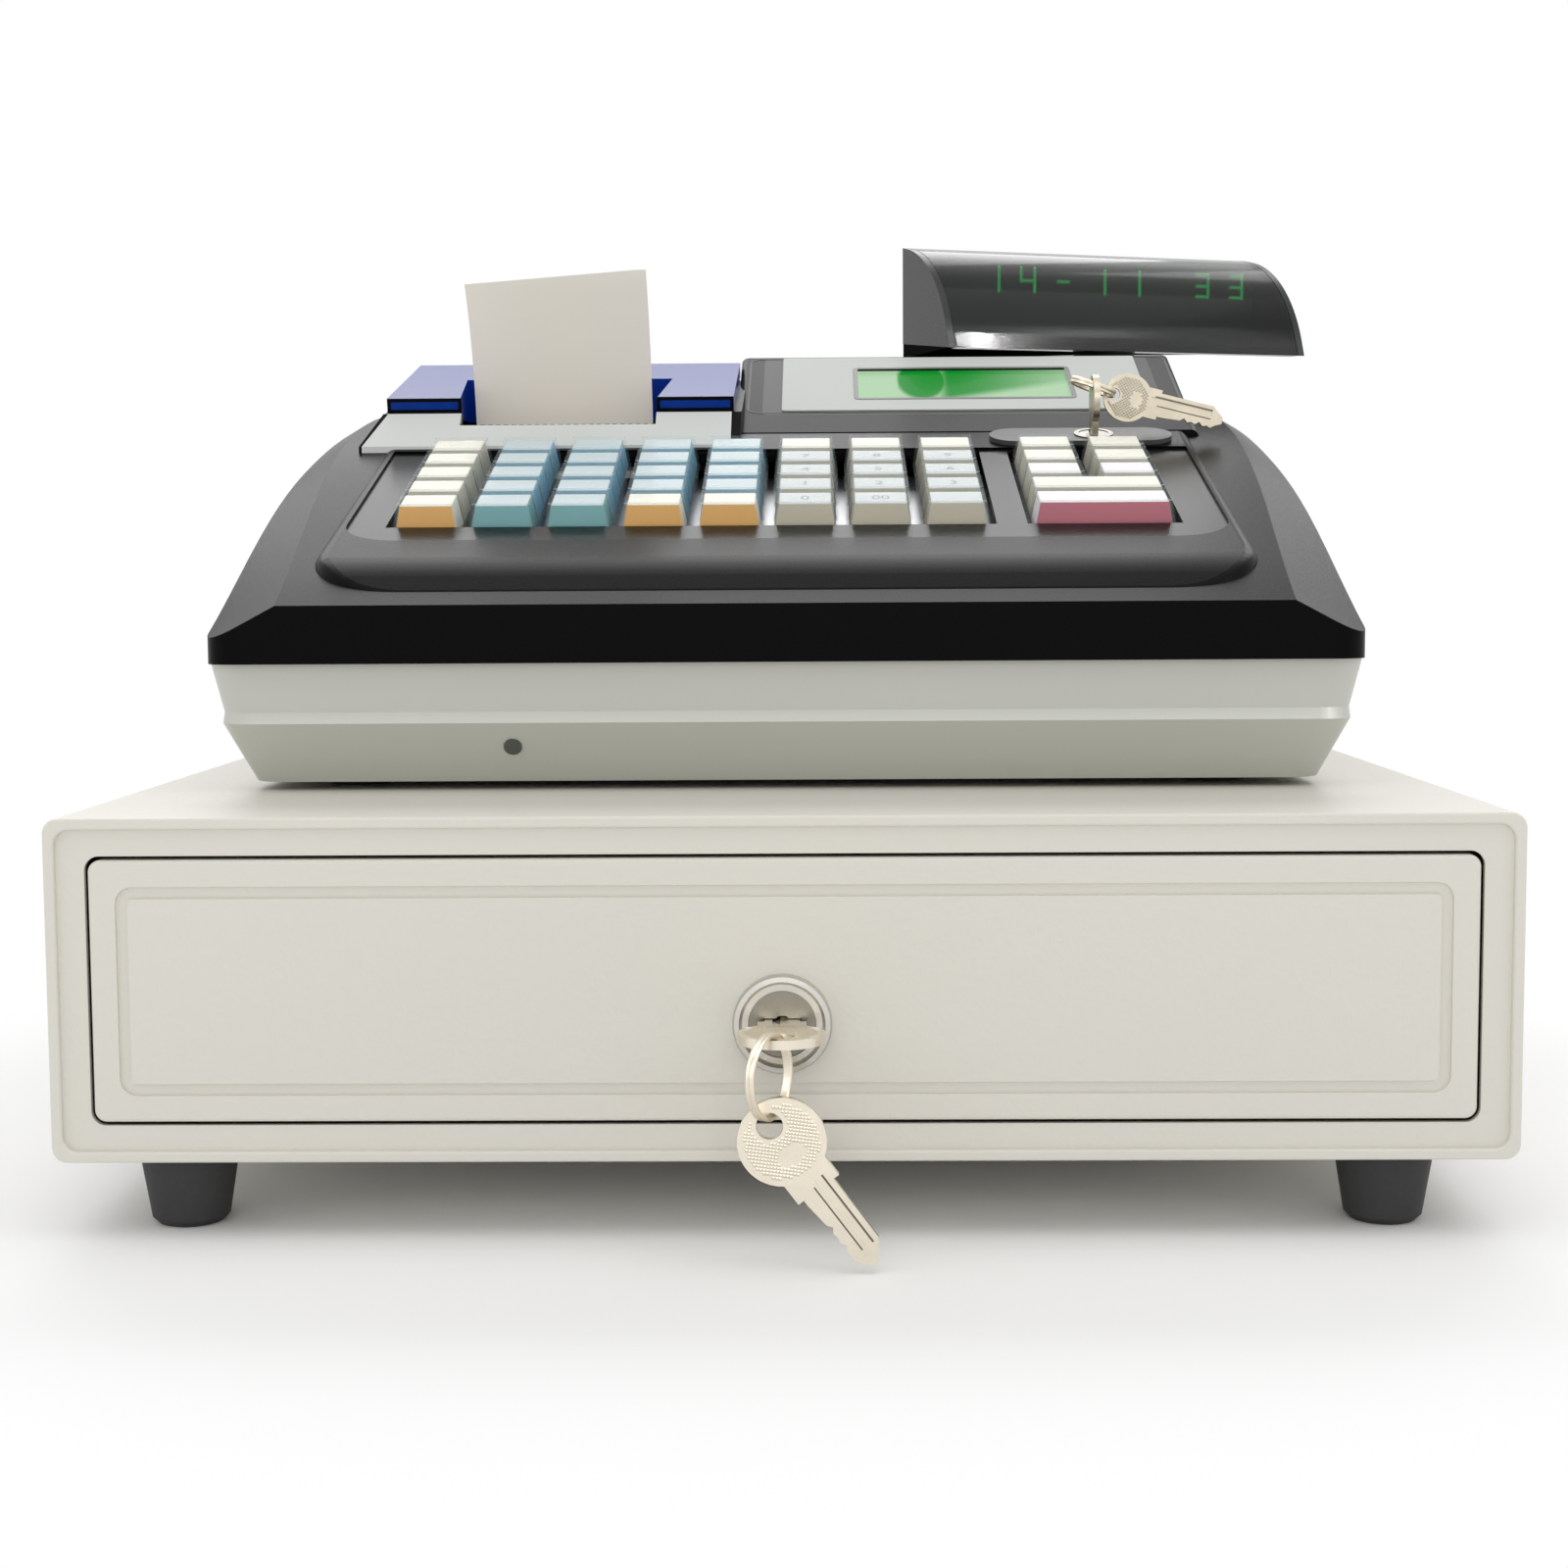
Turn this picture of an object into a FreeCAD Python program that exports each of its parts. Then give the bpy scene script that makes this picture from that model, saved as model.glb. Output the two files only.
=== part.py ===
import FreeCAD, Part
import Sketcher
import math
import os

# Ticket register: a sheet metal cash drawer with an electronic register standing on it.
# X runs to the right, Y to the back and Z up. The origin lies under the middle of the whole,
# on the surface that the drawer's feet stand on.

DOC = FreeCAD.newDocument("TicketRegister")
SHEET = DOC.addObject("Spreadsheet::Sheet", "Sizes")
PARTS = {}

SIZES = {
    # where the middle of the whole lies, from the drawer's centre line and front
    "middle_right": 6.3,
    "middle_back": 172.0,
    # shared
    "overrun": 5.0,
    "seat_gap": 0.3,
    "turning_fit": 0.05,
    # drawer housing
    "housing_width": 340.0,
    "housing_depth": 380.0,
    "housing_height": 80.4,
    "housing_wall": 1.5,
    "housing_round": 3.6,
    "rim_width": 2.6,
    "rim_recess": 1.4,
    "mouth_width": 321.6,
    "mouth_low": 8.6,
    "mouth_high": 71.6,
    "mouth_round": 3.4,
    # rubber feet of the housing
    "foot_height": 18.4,
    "foot_top": 12.0,
    "foot_bottom": 9.2,
    "foot_edge": 1.4,
    "foot_side": 142.9,
    "foot_front": 20.0,
    "foot_rear": 352.0,
    # drawer front
    "front_gap": 0.9,
    "front_set": 0.6,
    "front_thick": 12.0,
    "front_sheet": 1.5,
    "front_round": 2.8,
    "front_edge": 1.0,
    "channel_inset": 6.2,
    "channel_width": 2.8,
    "channel_sink": 0.8,
    "channel_round": 4.0,
    # drawer box and slides
    "box_floor": 11.0,
    "box_height": 54.0,
    "box_wall": 1.2,
    "box_rear": 348.0,
    "slide_space": 12.7,
    "slide_sheet": 1.2,
    "slide_height": 34.0,
    "slide_lift": 10.0,
    "slide_length": 318.0,
    "slide_start": 24.0,
    "rail_gap": 0.4,
    # latch at the back of the housing
    "latch_width": 60.0,
    "latch_height": 44.0,
    "coil_radius": 11.0,
    "coil_length": 34.0,
    "catch_reach": 7.0,
    # cash tray
    "tray_start": 42.0,
    "tray_gap": 1.5,
    "tray_height": 46.0,
    "tray_wall": 2.2,
    "coin_cups": 5.0,
    "coin_length": 88.0,
    "coin_sink": 32.0,
    "coin_scoop": 24.0,
    "bill_bays": 4.0,
    "bill_sink": 42.0,
    # bill clips
    "clip_pin": 1.5,
    "clip_width": 30.0,
    "clip_arm": 78.0,
    "clip_thick": 2.4,
    "clip_drop": 7.0,
    "clip_back": 8.0,
    # drawer lock
    "lock_low": 32.4,
    "lock_ring": 11.5,
    "lock_ring_face": 3.2,
    "lock_barrel": 9.4,
    "lock_barrel_length": 26.0,
    "lock_plug_radius": 7.8,
    "lock_plug_set": 0.8,
    "cam_length": 17.0,
    "cam_width": 9.0,
    "cam_thick": 2.0,
    "keyway_width": 8.8,
    "keyway_thick": 2.5,
    # keys on the drawer lock
    "key_bow": 9.9,
    "key_thick": 2.1,
    "key_hole": 3.0,
    "key_hole_out": 4.5,
    "key_blade": 8.2,
    "key_shoulder": 5.6,
    "key_length": 34.0,
    "key_groove": 0.4,
    "key_notch": 1.5,
    "key_bow_out": 17.2,
    "ring_radius": 9.2,
    "ring_wire": 0.55,
    "ring_turn": 26.0,
    "hanging_turn": 37.0,
    # register base
    "base_gap": 2.2,
    "base_half": 147.6,
    "base_waist": 144.6,
    "base_foot": 138.2,
    "base_front": 62.0,
    "base_front_low": 72.0,
    "base_ledge": 1.9,
    "base_ledge_low": 17.8,
    "base_ledge_high": 20.6,
    "base_top": 33.0,
    "base_rear": 372.0,
    "base_round": 9.0,
    "base_wall": 2.6,
    "base_pad": 8.0,
    "lens_right": -69.5,
    "lens_high": 11.6,
    "lens_radius": 2.3,
    "lens_lean": 57.3,
    "lens_proud": 0.6,
    "inlet_right": 68.0,
    "inlet_width": 27.0,
    "inlet_height": 19.0,
    "jack_right": 24.0,
    "jack_width": 14.0,
    "jack_height": 12.0,
    "socket_middle": 17.5,
    "socket_depth": 22.0,
    "socket_wall": 2.0,
    # top cover
    "cover_front": 60.0,
    "cover_half": 147.6,
    "cover_side_low": 37.6,
    "cover_side_rise": 76.0,
    "cover_top_low": 47.8,
    "cover_top_rise": 68.6,
    "cover_top_half": 128.5,
    "cover_top_widen": 13.0,
    "cover_round": 9.0,
    "cover_wall": 2.8,
    # keyboard deck
    "deck_back": 106.0,
    "deck_high": 66.2,
    "deck_slope": 17.0,
    "deck_half": 124.5,
    "deck_round": 26.0,
    "deck_edge": 4.0,
    "deck_thick": 7.0,
    "frame_sink": 0.8,
    "frame_thick": 1.4,
    "bulge_front": 67.5,
    "bulge_low": 50.4,
    "bulge_brow": 80.0,
    "bulge_round": 45.0,
    "deck_rear": 212.0,
    # keys of the keyboard
    "keys_first": 10.9,
    "keys_rows": 5.0,
    "keys_pitch": 15.64,
    "keys_step": 20.87,
    "keys_left": -99.2,
    "keys_columns": 8.0,
    "keys_right": 87.2,
    "keys_high": 5.15,
    "keys_low": -4.2,
    "keys_foot_width": 18.9,
    "keys_foot_length": 15.1,
    "keys_top_width": 15.9,
    "keys_top_length": 12.9,
    "keys_top_back": 0.5,
    "keys_round": 1.0,
    "keys_stem": 6.0,
    "keys_stem_low": -12.0,
    "keys_travel": 2.6,
    "well_margin": 1.3,
    "plate_low": -11.2,
    "plate_thick": 1.6,
    "plate_margin": 7.0,
    # printer
    "tray_front": 196.0,
    "silver_low": 94.6,
    "silver_back": 209.5,
    "silver_high": 105.4,
    "silver_thick": 1.6,
    "silver_left": -131.0,
    "silver_right": -18.0,
    "silver_taper": 6.0,
    "lid_front": 210.4,
    "lid_high": 110.2,
    "lid_slope": 13.4,
    "lid_length": 68.5,
    "lid_thick": 4.6,
    "lid_skin": 2.2,
    "lid_left": -125.5,
    "lid_right": -17.4,
    "lid_pin": 1.5,
    "lid_boss": 3.7,
    "lid_pivot_drop": 8.7,
    "trough_front": 6.4,
    "trough_rear": 14.4,
    "notch_left": -102.2,
    "notch_right": -41.4,
    "notch_flare": 3.0,
    "notch_length": 36.0,
    "paper_width": 57.0,
    "paper_right": -73.0,
    "paper_thick": 0.25,
    "paper_back": 241.0,
    "paper_low": 96.0,
    "paper_top_back": 213.0,
    "paper_top": 149.6,
    "paper_bend_back": 232.0,
    "paper_bend_high": 128.0,
    "paper_bend": 90.0,
    "platen_radius": 6.0,
    "platen_shaft": 2.0,
    "bay_rear": 276.0,
    "bay_low": 44.0,
    "bay_wall": 2.0,
    "roll_radius": 19.0,
    "roll_back": 256.0,
    "tear_high": 103.6,
    "tear_thick": 1.2,
    # display housing on the cover
    "screen_front": 213.5,
    "screen_low": 99.1,
    "screen_slope": 22.8,
    "screen_length": 75.0,
    "screen_left": -17.0,
    "screen_right": 127.6,
    "screen_round": 5.0,
    "window_margin": 8.0,
    "window_front": 16.5,
    "window_sink": 1.2,
    "panel_left": -2.8,
    "panel_right": 115.2,
    "panel_low": 19.7,
    "panel_high": 73.3,
    "glass_left": 21.0,
    "glass_right": 92.0,
    "glass_low": 30.2,
    "glass_high": 61.8,
    # mode lock
    "mode_right": 93.5,
    "mode_back": 102.0,
    "mode_oval": 28.0,
    "mode_oval_width": 8.2,
    "mode_oval_thick": 1.4,
    "mode_barrel": 6.0,
    "mode_plug": 4.6,
    "mode_barrel_rise": 0.4,
    "mode_barrel_length": 20.0,
    "mode_oval_left": 4.0,
    "mode_key_slot": 2.3,
    "mode_bow": 7.4,
    "mode_hole": 2.0,
    "mode_hole_out": 4.4,
    "mode_blade": 7.2,
    "mode_shoulder": 4.6,
    "mode_key_length": 30.0,
    "mode_key_thick": 1.9,
    "mode_bow_out": 12.2,
    "mode_ring_radius": 6.8,
    "mode_ring_wire": 0.55,
    "mode_ring_lean": 20.0,
    "spare_lean": 14.0,
    # customer display
    "head_left": 39.2,
    "head_back": 327.0,
    "head_turn": 18.9,
    "head_length": 136.8,
    "head_depth": 44.0,
    "head_low": 131.6,
    "head_high": 170.4,
    "head_rise": 5.0,
    "head_skin": 2.4,
    "head_bend": 50.0,
    "pole_radius": 11.0,
    "pole_collar": 17.0,
    "pole_base_high": 116.0,
}


class Size:
    """A length or angle that keeps its value together with the expression it comes from."""

    def __init__(self, value, text):
        self.value = value
        self.text = text

    def with_other(self, other, sign, value):
        return Size(value, "(%s %s %s)" % (self.text, sign, words(other)))

    def __add__(self, other):
        return self.with_other(other, "+", self.value + worth(other))

    def __sub__(self, other):
        return self.with_other(other, "-", self.value - worth(other))

    def __mul__(self, other):
        return self.with_other(other, "*", self.value * worth(other))

    def __truediv__(self, other):
        return self.with_other(other, "/", self.value / worth(other))

    def __neg__(self):
        return Size(-self.value, "(0 - %s)" % self.text)


def worth(item):
    return item.value if isinstance(item, Size) else float(item)


def words(item):
    return item.text if isinstance(item, Size) else repr(float(item))


def sine(angle):
    return Size(math.sin(math.radians(angle.value)), "sin(%s)" % angle.text)


def cosine(angle):
    return Size(math.cos(math.radians(angle.value)), "cos(%s)" % angle.text)


def tangent(angle):
    return Size(math.tan(math.radians(angle.value)), "tan(%s)" % angle.text)


class Named:
    """The sizes of the sheet, each under its own name."""


def fill_sheet():
    named = Named()
    for row, (name, value) in enumerate(SIZES.items(), start=1):
        SHEET.set("A%d" % row, name)
        SHEET.set("B%d" % row, str(value))
        SHEET.setAlias("B%d" % row, name)
    DOC.recompute()
    for name in SIZES:
        setattr(named, name, Size(float(SHEET.get(name)), "Sizes." + name))
    return named


s = fill_sheet()
ZERO = Size(0.0, "0")


# Building helpers

def bind(item, field, amount):
    item.setExpression(field, words(amount))


def put(item, x, y, z):
    bind(item, "Placement.Base.x", x)
    bind(item, "Placement.Base.y", y)
    bind(item, "Placement.Base.z", z)
    return item


def tilt(item, angle, axis=(1, 0, 0)):
    item.Placement = FreeCAD.Placement(item.Placement.Base, FreeCAD.Rotation(FreeCAD.Vector(*axis), 1))
    bind(item, "Placement.Rotation.Angle", angle)
    return item


def block(name, x, y, z, across, along, up):
    item = DOC.addObject("Part::Box", name)
    bind(item, "Length", across)
    bind(item, "Width", along)
    bind(item, "Height", up)
    return put(item, x, y, z)


TURNS = {"X": (FreeCAD.Vector(0, 1, 0), 90), "Y": (FreeCAD.Vector(1, 0, 0), -90), "Z": (FreeCAD.Vector(0, 0, 1), 0)}


def rod(name, axis, x, y, z, radius, length):
    item = DOC.addObject("Part::Cylinder", name)
    bind(item, "Radius", radius)
    bind(item, "Height", length)
    item.Placement = FreeCAD.Placement(FreeCAD.Vector(), FreeCAD.Rotation(*TURNS[axis]))
    return put(item, x, y, z)


def fused(name, *items):
    item = DOC.addObject("Part::MultiFuse", name)
    item.Shapes = list(items)
    return item


def without(name, base, *tools):
    item = DOC.addObject("Part::Cut", name)
    item.Base = base
    item.Tool = tools[0] if len(tools) == 1 else fused(name + "_tools", *tools)
    return item


def shared(name, first, second):
    item = DOC.addObject("Part::MultiCommon", name)
    item.Shapes = [first, second]
    return item


def together(name, *items):
    item = DOC.addObject("Part::Compound", name)
    item.Links = list(items)
    return item


def new_body(name):
    return DOC.addObject("PartDesign::Body", name)


def origin_item(body, role):
    return [item for item in body.Origin.OriginFeatures if item.Role == role][0]


def draw_outline(sketch, corners):
    """One closed outline: corners are (x, y), or (x, y, radius) where the corner is rounded."""
    spots = [FreeCAD.Vector(worth(corner[0]), worth(corner[1]), 0) for corner in corners]
    count = len(corners)
    arrive, leave, arcs = [], [], {}
    for place, here in enumerate(spots):
        if len(corners[place]) == 2:
            arrive.append(here)
            leave.append(here)
            continue
        radius = worth(corners[place][2])
        back = (spots[place - 1] - here).normalize()
        ahead = (spots[(place + 1) % count] - here).normalize()
        half = back.getAngle(ahead) / 2
        reach = radius / math.tan(half)
        arrive.append(here + back * reach)
        leave.append(here + ahead * reach)
        middle = here + (back + ahead).normalize() * (radius / math.sin(half) - radius)
        arcs[place] = Part.Arc(arrive[place], middle, leave[place])
    lines = []
    for place in range(count):
        line = Part.LineSegment(leave[place], arrive[(place + 1) % count])
        lines.append(sketch.addGeometry(line))
    for place in range(count):
        before, after = lines[place - 1], lines[place]
        if place not in arcs:
            sketch.addConstraint(Sketcher.Constraint("Coincident", before, 2, after, 1))
            fix_point(sketch, after, 1, corners[place])
            continue
        arc = sketch.addGeometry(arcs[place])
        knot = sketch.addGeometry(Part.Point(spots[place]), True)
        fix_point(sketch, knot, 1, corners[place])
        sketch.addConstraint(Sketcher.Constraint("PointOnObject", knot, 1, before))
        sketch.addConstraint(Sketcher.Constraint("PointOnObject", knot, 1, after))
        first = sketch.getPoint(arc, 1)
        start, end = (1, 2) if first.distanceToPoint(arrive[place]) < first.distanceToPoint(leave[place]) else (2, 1)
        sketch.addConstraint(Sketcher.Constraint("Tangent", before, 2, arc, start))
        sketch.addConstraint(Sketcher.Constraint("Tangent", arc, end, after, 1))
        number = sketch.addConstraint(Sketcher.Constraint("Radius", arc, worth(corners[place][2])))
        sketch.setExpression("Constraints[%d]" % number, words(corners[place][2]))


def fix_point(sketch, geometry, end, spot):
    for kind, amount in (("DistanceX", spot[0]), ("DistanceY", spot[1])):
        number = sketch.addConstraint(Sketcher.Constraint(kind, -1, 1, geometry, end, worth(amount)))
        if isinstance(amount, Size):
            sketch.setExpression("Constraints[%d]" % number, amount.text)


def draw_circle(sketch, x, y, radius):
    centre = FreeCAD.Vector(worth(x), worth(y), 0)
    circle = sketch.addGeometry(Part.Circle(centre, FreeCAD.Vector(0, 0, 1), worth(radius)))
    fix_point(sketch, circle, 3, (x, y))
    number = sketch.addConstraint(Sketcher.Constraint("Radius", circle, worth(radius)))
    sketch.setExpression("Constraints[%d]" % number, words(radius))


def drawing(body, role, outlines=(), circles=(), shift=None):
    """A sketch on one of the body's own planes, moved along the axis square to it."""
    sketch = body.newObject("Sketcher::SketchObject", body.Name + "_sketch")
    sketch.AttachmentSupport = [(origin_item(body, role), "")]
    sketch.MapMode = "FlatFace"
    for outline in outlines:
        draw_outline(sketch, outline)
    for circle in circles:
        draw_circle(sketch, *circle)
    if shift is not None:
        bind(sketch, "AttachmentOffset.Base.z", -shift if role == "XZ_Plane" else shift)
    sketch.Label = body.Name + "_" + role[:2].lower() + "_sketch"
    return sketch


def pad(body, sketch, length, onward=True, both=False):
    """Material from the sketch, towards the plus side of the axis where onward is set."""
    item = body.newObject("PartDesign::Pad", body.Name + "_pad")
    item.Profile = sketch
    bind(item, "Length", length)
    flat = sketch.AttachmentSupport[0][0].Role
    item.Reversed = onward == (flat == "XZ_Plane")
    if both:
        item.SideType = "Symmetric"
    return item


def pocket(body, sketch, length, onward=True, both=False):
    """A cut from the sketch, towards the plus side of the axis where onward is set."""
    item = body.newObject("PartDesign::Pocket", body.Name + "_pocket")
    item.Profile = sketch
    bind(item, "Length", length)
    flat = sketch.AttachmentSupport[0][0].Role
    item.Reversed = onward != (flat == "XZ_Plane")
    if both:
        item.SideType = "Symmetric"
    return item


def row_of(body, features, role, pitch, count):
    """The same features again along an axis of the body."""
    item = body.newObject("PartDesign::LinearPattern", body.Name + "_row")
    item.Originals = features if isinstance(features, list) else [features]
    item.Direction = (origin_item(body, role), [""])
    item.Occurrences = int(round(worth(count)))
    bind(item, "Length", pitch * (count - 1))
    body.Tip = item
    return item


def rounded(body, feature, radius, chosen):
    """A fillet along the edges of the feature for which chosen says yes."""
    DOC.recompute()
    names = ["Edge%d" % number for number, edge in enumerate(feature.Shape.Edges, start=1) if chosen(edge)]
    item = body.newObject("PartDesign::Fillet", body.Name + "_fillet")
    item.Base = (feature, names)
    bind(item, "Radius", radius)
    return item


def rectangle(left, low, right, high, corner=None):
    spots = [(left, low), (right, low), (right, high), (left, high)]
    return spots if corner is None else [spot + (corner,) for spot in spots]


def near(first, second, share=0.001):
    return abs(first - worth(second)) < share * worth(s.housing_wall)


def flat_at(edge, axis, amount):
    box = edge.BoundBox
    low, high = {"X": (box.XMin, box.XMax), "Y": (box.YMin, box.YMax), "Z": (box.ZMin, box.ZMax)}[axis]
    return near(low, amount) and near(high, amount)


def upright(edge):
    box = edge.BoundBox
    return box.ZLength > 0 and near(box.XLength, ZERO) and near(box.YLength, ZERO)


def keep(label, item):
    """Names the finished sub-part."""
    item.Label = label
    PARTS[label] = item
    return item


def in_drawer(label, item):
    return keep(label, put(item, -s.middle_right, -s.middle_back, s.foot_height))


def in_register(label, item):
    return keep(label, put(item, -s.middle_right, -s.middle_back, s.foot_height + s.housing_height))


def slope_spot(back, high, slope, along, out):
    """A place on a sloping face, from its front edge, in the register's own frame."""
    return (back + cosine(slope) * along - sine(slope) * out,
            high + sine(slope) * along + cosine(slope) * out)


def on_slope(label, item, back, high, slope, right=None):
    """Stands an item, drawn flat, on a sloping face of the register."""
    x = -s.middle_right if right is None else right - s.middle_right
    tilt(item, slope)
    return keep(label, put(item, x, back - s.middle_back, high + s.foot_height + s.housing_height))


def on_deck(label, item, right=None):
    return on_slope(label, item, s.deck_back, s.deck_high, s.deck_slope, right)


# The drawer unit. Its own frame starts at the middle of the housing's lower front edge.

def drawer_housing():
    body = new_body("housing_shell")
    half = s.housing_width / 2
    front = drawing(body, "XZ_Plane", [rectangle(-half, ZERO, half, s.housing_height, s.housing_round)])
    pad(body, front, s.housing_depth)
    rim = rectangle(-half + s.rim_width, s.rim_width, half - s.rim_width,
                    s.housing_height - s.rim_width, s.housing_round)
    recess = pocket(body, drawing(body, "XZ_Plane", [rim]), s.rim_recess)
    edge = rounded(body, recess, s.rim_width / 4, lambda item: flat_at(item, "Y", ZERO))
    body.Tip = edge
    mouth = rectangle(-s.mouth_width / 2, s.mouth_low, s.mouth_width / 2, s.mouth_high, s.mouth_round)
    pocket(body, drawing(body, "XZ_Plane", [mouth]), s.rim_recess + s.housing_wall * 2)
    inside = rectangle(-half + s.housing_wall, s.housing_wall, half - s.housing_wall,
                       s.housing_height - s.housing_wall)
    start = s.rim_recess + s.housing_wall
    pocket(body, drawing(body, "XZ_Plane", [inside], shift=start), s.housing_depth - start - s.housing_wall)
    return in_drawer("drawer_housing", body)


def housing_feet():
    feet = []
    for side in (-1, 1):
        for back in (s.foot_front, s.foot_rear):
            upper = DOC.addObject("Part::Cone", "foot_upper")
            bind(upper, "Radius1", s.foot_bottom)
            bind(upper, "Radius2", s.foot_top)
            bind(upper, "Height", s.foot_height - s.foot_edge)
            put(upper, s.foot_side * side, back, s.foot_edge - s.foot_height)
            lower = DOC.addObject("Part::Cone", "foot_lower")
            bind(lower, "Radius1", s.foot_bottom - s.foot_edge)
            bind(lower, "Radius2", s.foot_bottom)
            bind(lower, "Height", s.foot_edge)
            put(lower, s.foot_side * side, back, -s.foot_height)
            feet.append(fused("foot", upper, lower))
    return in_drawer("housing_feet", together("feet", *feet))


def channel(side, wide, narrow, low, high, sheet):
    """An open channel on one side of the drawer, its back at wide and its lips at narrow."""
    inner = wide - sheet if wide.value > narrow.value else wide + sheet
    spots = [(wide, low), (wide, high), (narrow, high), (narrow, high - sheet), (inner, high - sheet),
             (inner, low + sheet), (narrow, low + sheet), (narrow, low)]
    return [(spot[0] * side, spot[1]) for spot in spots]


def outer_slides():
    body = new_body("outer_channels")
    wide = s.mouth_width / 2
    narrow = wide - s.slide_space + s.slide_sheet + s.rail_gap
    low = s.box_floor + s.slide_lift
    high = low + s.slide_height
    shapes = [channel(side, wide, narrow, low, high, s.slide_sheet) for side in (-1, 1)]
    pad(body, drawing(body, "XZ_Plane", shapes, shift=s.slide_start), s.slide_length)
    spacer = s.housing_width / 2 - s.housing_wall - wide
    blocks = []
    for share in (0.04, 0.9):
        back = s.slide_start + s.slide_length * share
        lift = low + s.slide_height / 4
        for left in (-wide - spacer, wide):
            blocks.append(block("slide_spacer", left, back, lift, spacer, s.slide_height / 2, s.slide_height / 2))
    return in_drawer("outer_slides", fused("slides", body, *blocks))


def inner_slides():
    body = new_body("inner_channels")
    wide = s.mouth_width / 2 - s.slide_space
    narrow = s.mouth_width / 2 - s.slide_sheet - s.rail_gap
    low = s.box_floor + s.slide_lift + s.slide_sheet + s.rail_gap
    high = s.box_floor + s.slide_lift + s.slide_height - s.slide_sheet - s.rail_gap
    shapes = [channel(side, wide, narrow, low, high, s.slide_sheet) for side in (-1, 1)]
    pad(body, drawing(body, "XZ_Plane", shapes, shift=s.slide_start), s.slide_length)
    return in_drawer("inner_slides", body)


def latch_unit():
    rear = s.housing_depth - s.housing_wall
    plate = block("latch_plate", -s.latch_width / 2, rear - s.cam_thick, s.box_floor,
                  s.latch_width, s.cam_thick, s.latch_height)
    coil = rod("latch_coil", "X", -s.latch_width * 0.45, rear - s.coil_radius, s.lock_low,
               s.coil_radius, s.coil_length)
    lever = block("latch_lever", s.latch_width / 4, s.box_rear + s.seat_gap, s.lock_low + s.catch_reach,
                  s.catch_reach, rear - s.box_rear - s.seat_gap, s.cam_thick)
    stop = rod("latch_plunger", "Y", s.latch_width * 0.45, s.box_rear + s.seat_gap, s.lock_low,
               s.catch_reach * 0.4, rear - s.box_rear - s.seat_gap)
    return in_drawer("latch_unit", fused("latch", plate, coil, lever, stop))


def drawer_front():
    body = new_body("front_panel")
    half = s.mouth_width / 2 - s.front_gap
    low = s.mouth_low + s.front_gap
    high = s.mouth_high - s.front_gap
    face = drawing(body, "XZ_Plane", [rectangle(-half, low, half, high, s.front_round)], shift=s.front_set)
    slab = pad(body, face, s.front_thick)
    edge = rounded(body, slab, s.front_edge, lambda item: flat_at(item, "Y", s.front_set))
    body.Tip = edge
    rear = s.front_set + s.front_thick
    hollow = rectangle(-half + s.front_sheet, low + s.front_sheet, half - s.front_sheet, high - s.front_sheet)
    pocket(body, drawing(body, "XZ_Plane", [hollow], shift=rear), s.front_thick - s.front_sheet, onward=False)
    rings = []
    for inset in (s.channel_inset, s.channel_inset + s.channel_width):
        bend = s.channel_round if inset is s.channel_inset else s.channel_round - s.channel_width
        rings.append(rectangle(-half + inset, low + inset, half - inset, high - inset, bend))
    pocket(body, drawing(body, "XZ_Plane", rings, shift=s.front_set), s.channel_sink)
    hole = (ZERO, s.lock_low, s.lock_barrel + s.turning_fit)
    pocket(body, drawing(body, "XZ_Plane", circles=[hole], shift=s.front_set), s.front_thick)
    return in_drawer("drawer_front", body)


def drawer_box():
    body = new_body("box_shell")
    half = s.mouth_width / 2 - s.slide_space
    start = s.front_set + s.front_thick
    outer = drawing(body, "XY_Plane", [rectangle(-half, start, half, s.box_rear)], shift=s.box_floor)
    pad(body, outer, s.box_height)
    inner = rectangle(-half + s.box_wall, start + s.box_wall, half - s.box_wall, s.box_rear - s.box_wall)
    floor = s.box_floor + s.box_wall
    pocket(body, drawing(body, "XY_Plane", [inner], shift=floor), s.box_height)
    hole = (ZERO, s.lock_low, s.lock_barrel + s.turning_fit)
    pocket(body, drawing(body, "XZ_Plane", circles=[hole], shift=start), s.box_wall * 2)
    catch = block("box_catch", s.latch_width / 4, s.box_rear, s.lock_low, s.catch_reach, s.catch_reach,
                  s.catch_reach - s.seat_gap)
    return in_drawer("drawer_box", fused("box", body, catch))


def tray_half():
    return s.mouth_width / 2 - s.slide_space - s.box_wall - s.tray_gap


def tray_floor():
    return s.box_floor + s.box_wall


def tray_rear():
    return s.box_rear - s.box_wall - s.tray_gap


def bay_pitch(count):
    return (tray_half() * 2 - s.tray_wall) / count


def coin_tray_rear():
    return s.tray_start + s.tray_wall * 2 + s.coin_length


def coin_tray():
    """The front tray: a row of cups for coins, scooped at both ends."""
    body = new_body("coin_tub")
    half, floor = tray_half(), tray_floor()
    top = floor + s.tray_height
    pad(body, drawing(body, "XY_Plane", [rectangle(-half, s.tray_start, half, coin_tray_rear())], shift=floor),
        s.tray_height)
    cup = bay_pitch(s.coin_cups)
    near_edge = s.tray_start + s.tray_wall
    far_edge = near_edge + s.coin_length
    low = top - s.coin_sink
    scoop = [(near_edge, top + s.overrun), (near_edge, low, s.coin_scoop),
             (far_edge, low, s.coin_scoop), (far_edge, top + s.overrun)]
    first = -half + s.tray_wall / 2 + cup / 2
    cut = pocket(body, drawing(body, "YZ_Plane", [scoop], shift=first), cup - s.tray_wall, both=True)
    row_of(body, cut, "X_Axis", cup, s.coin_cups)
    return in_drawer("coin_tray", body)


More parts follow.
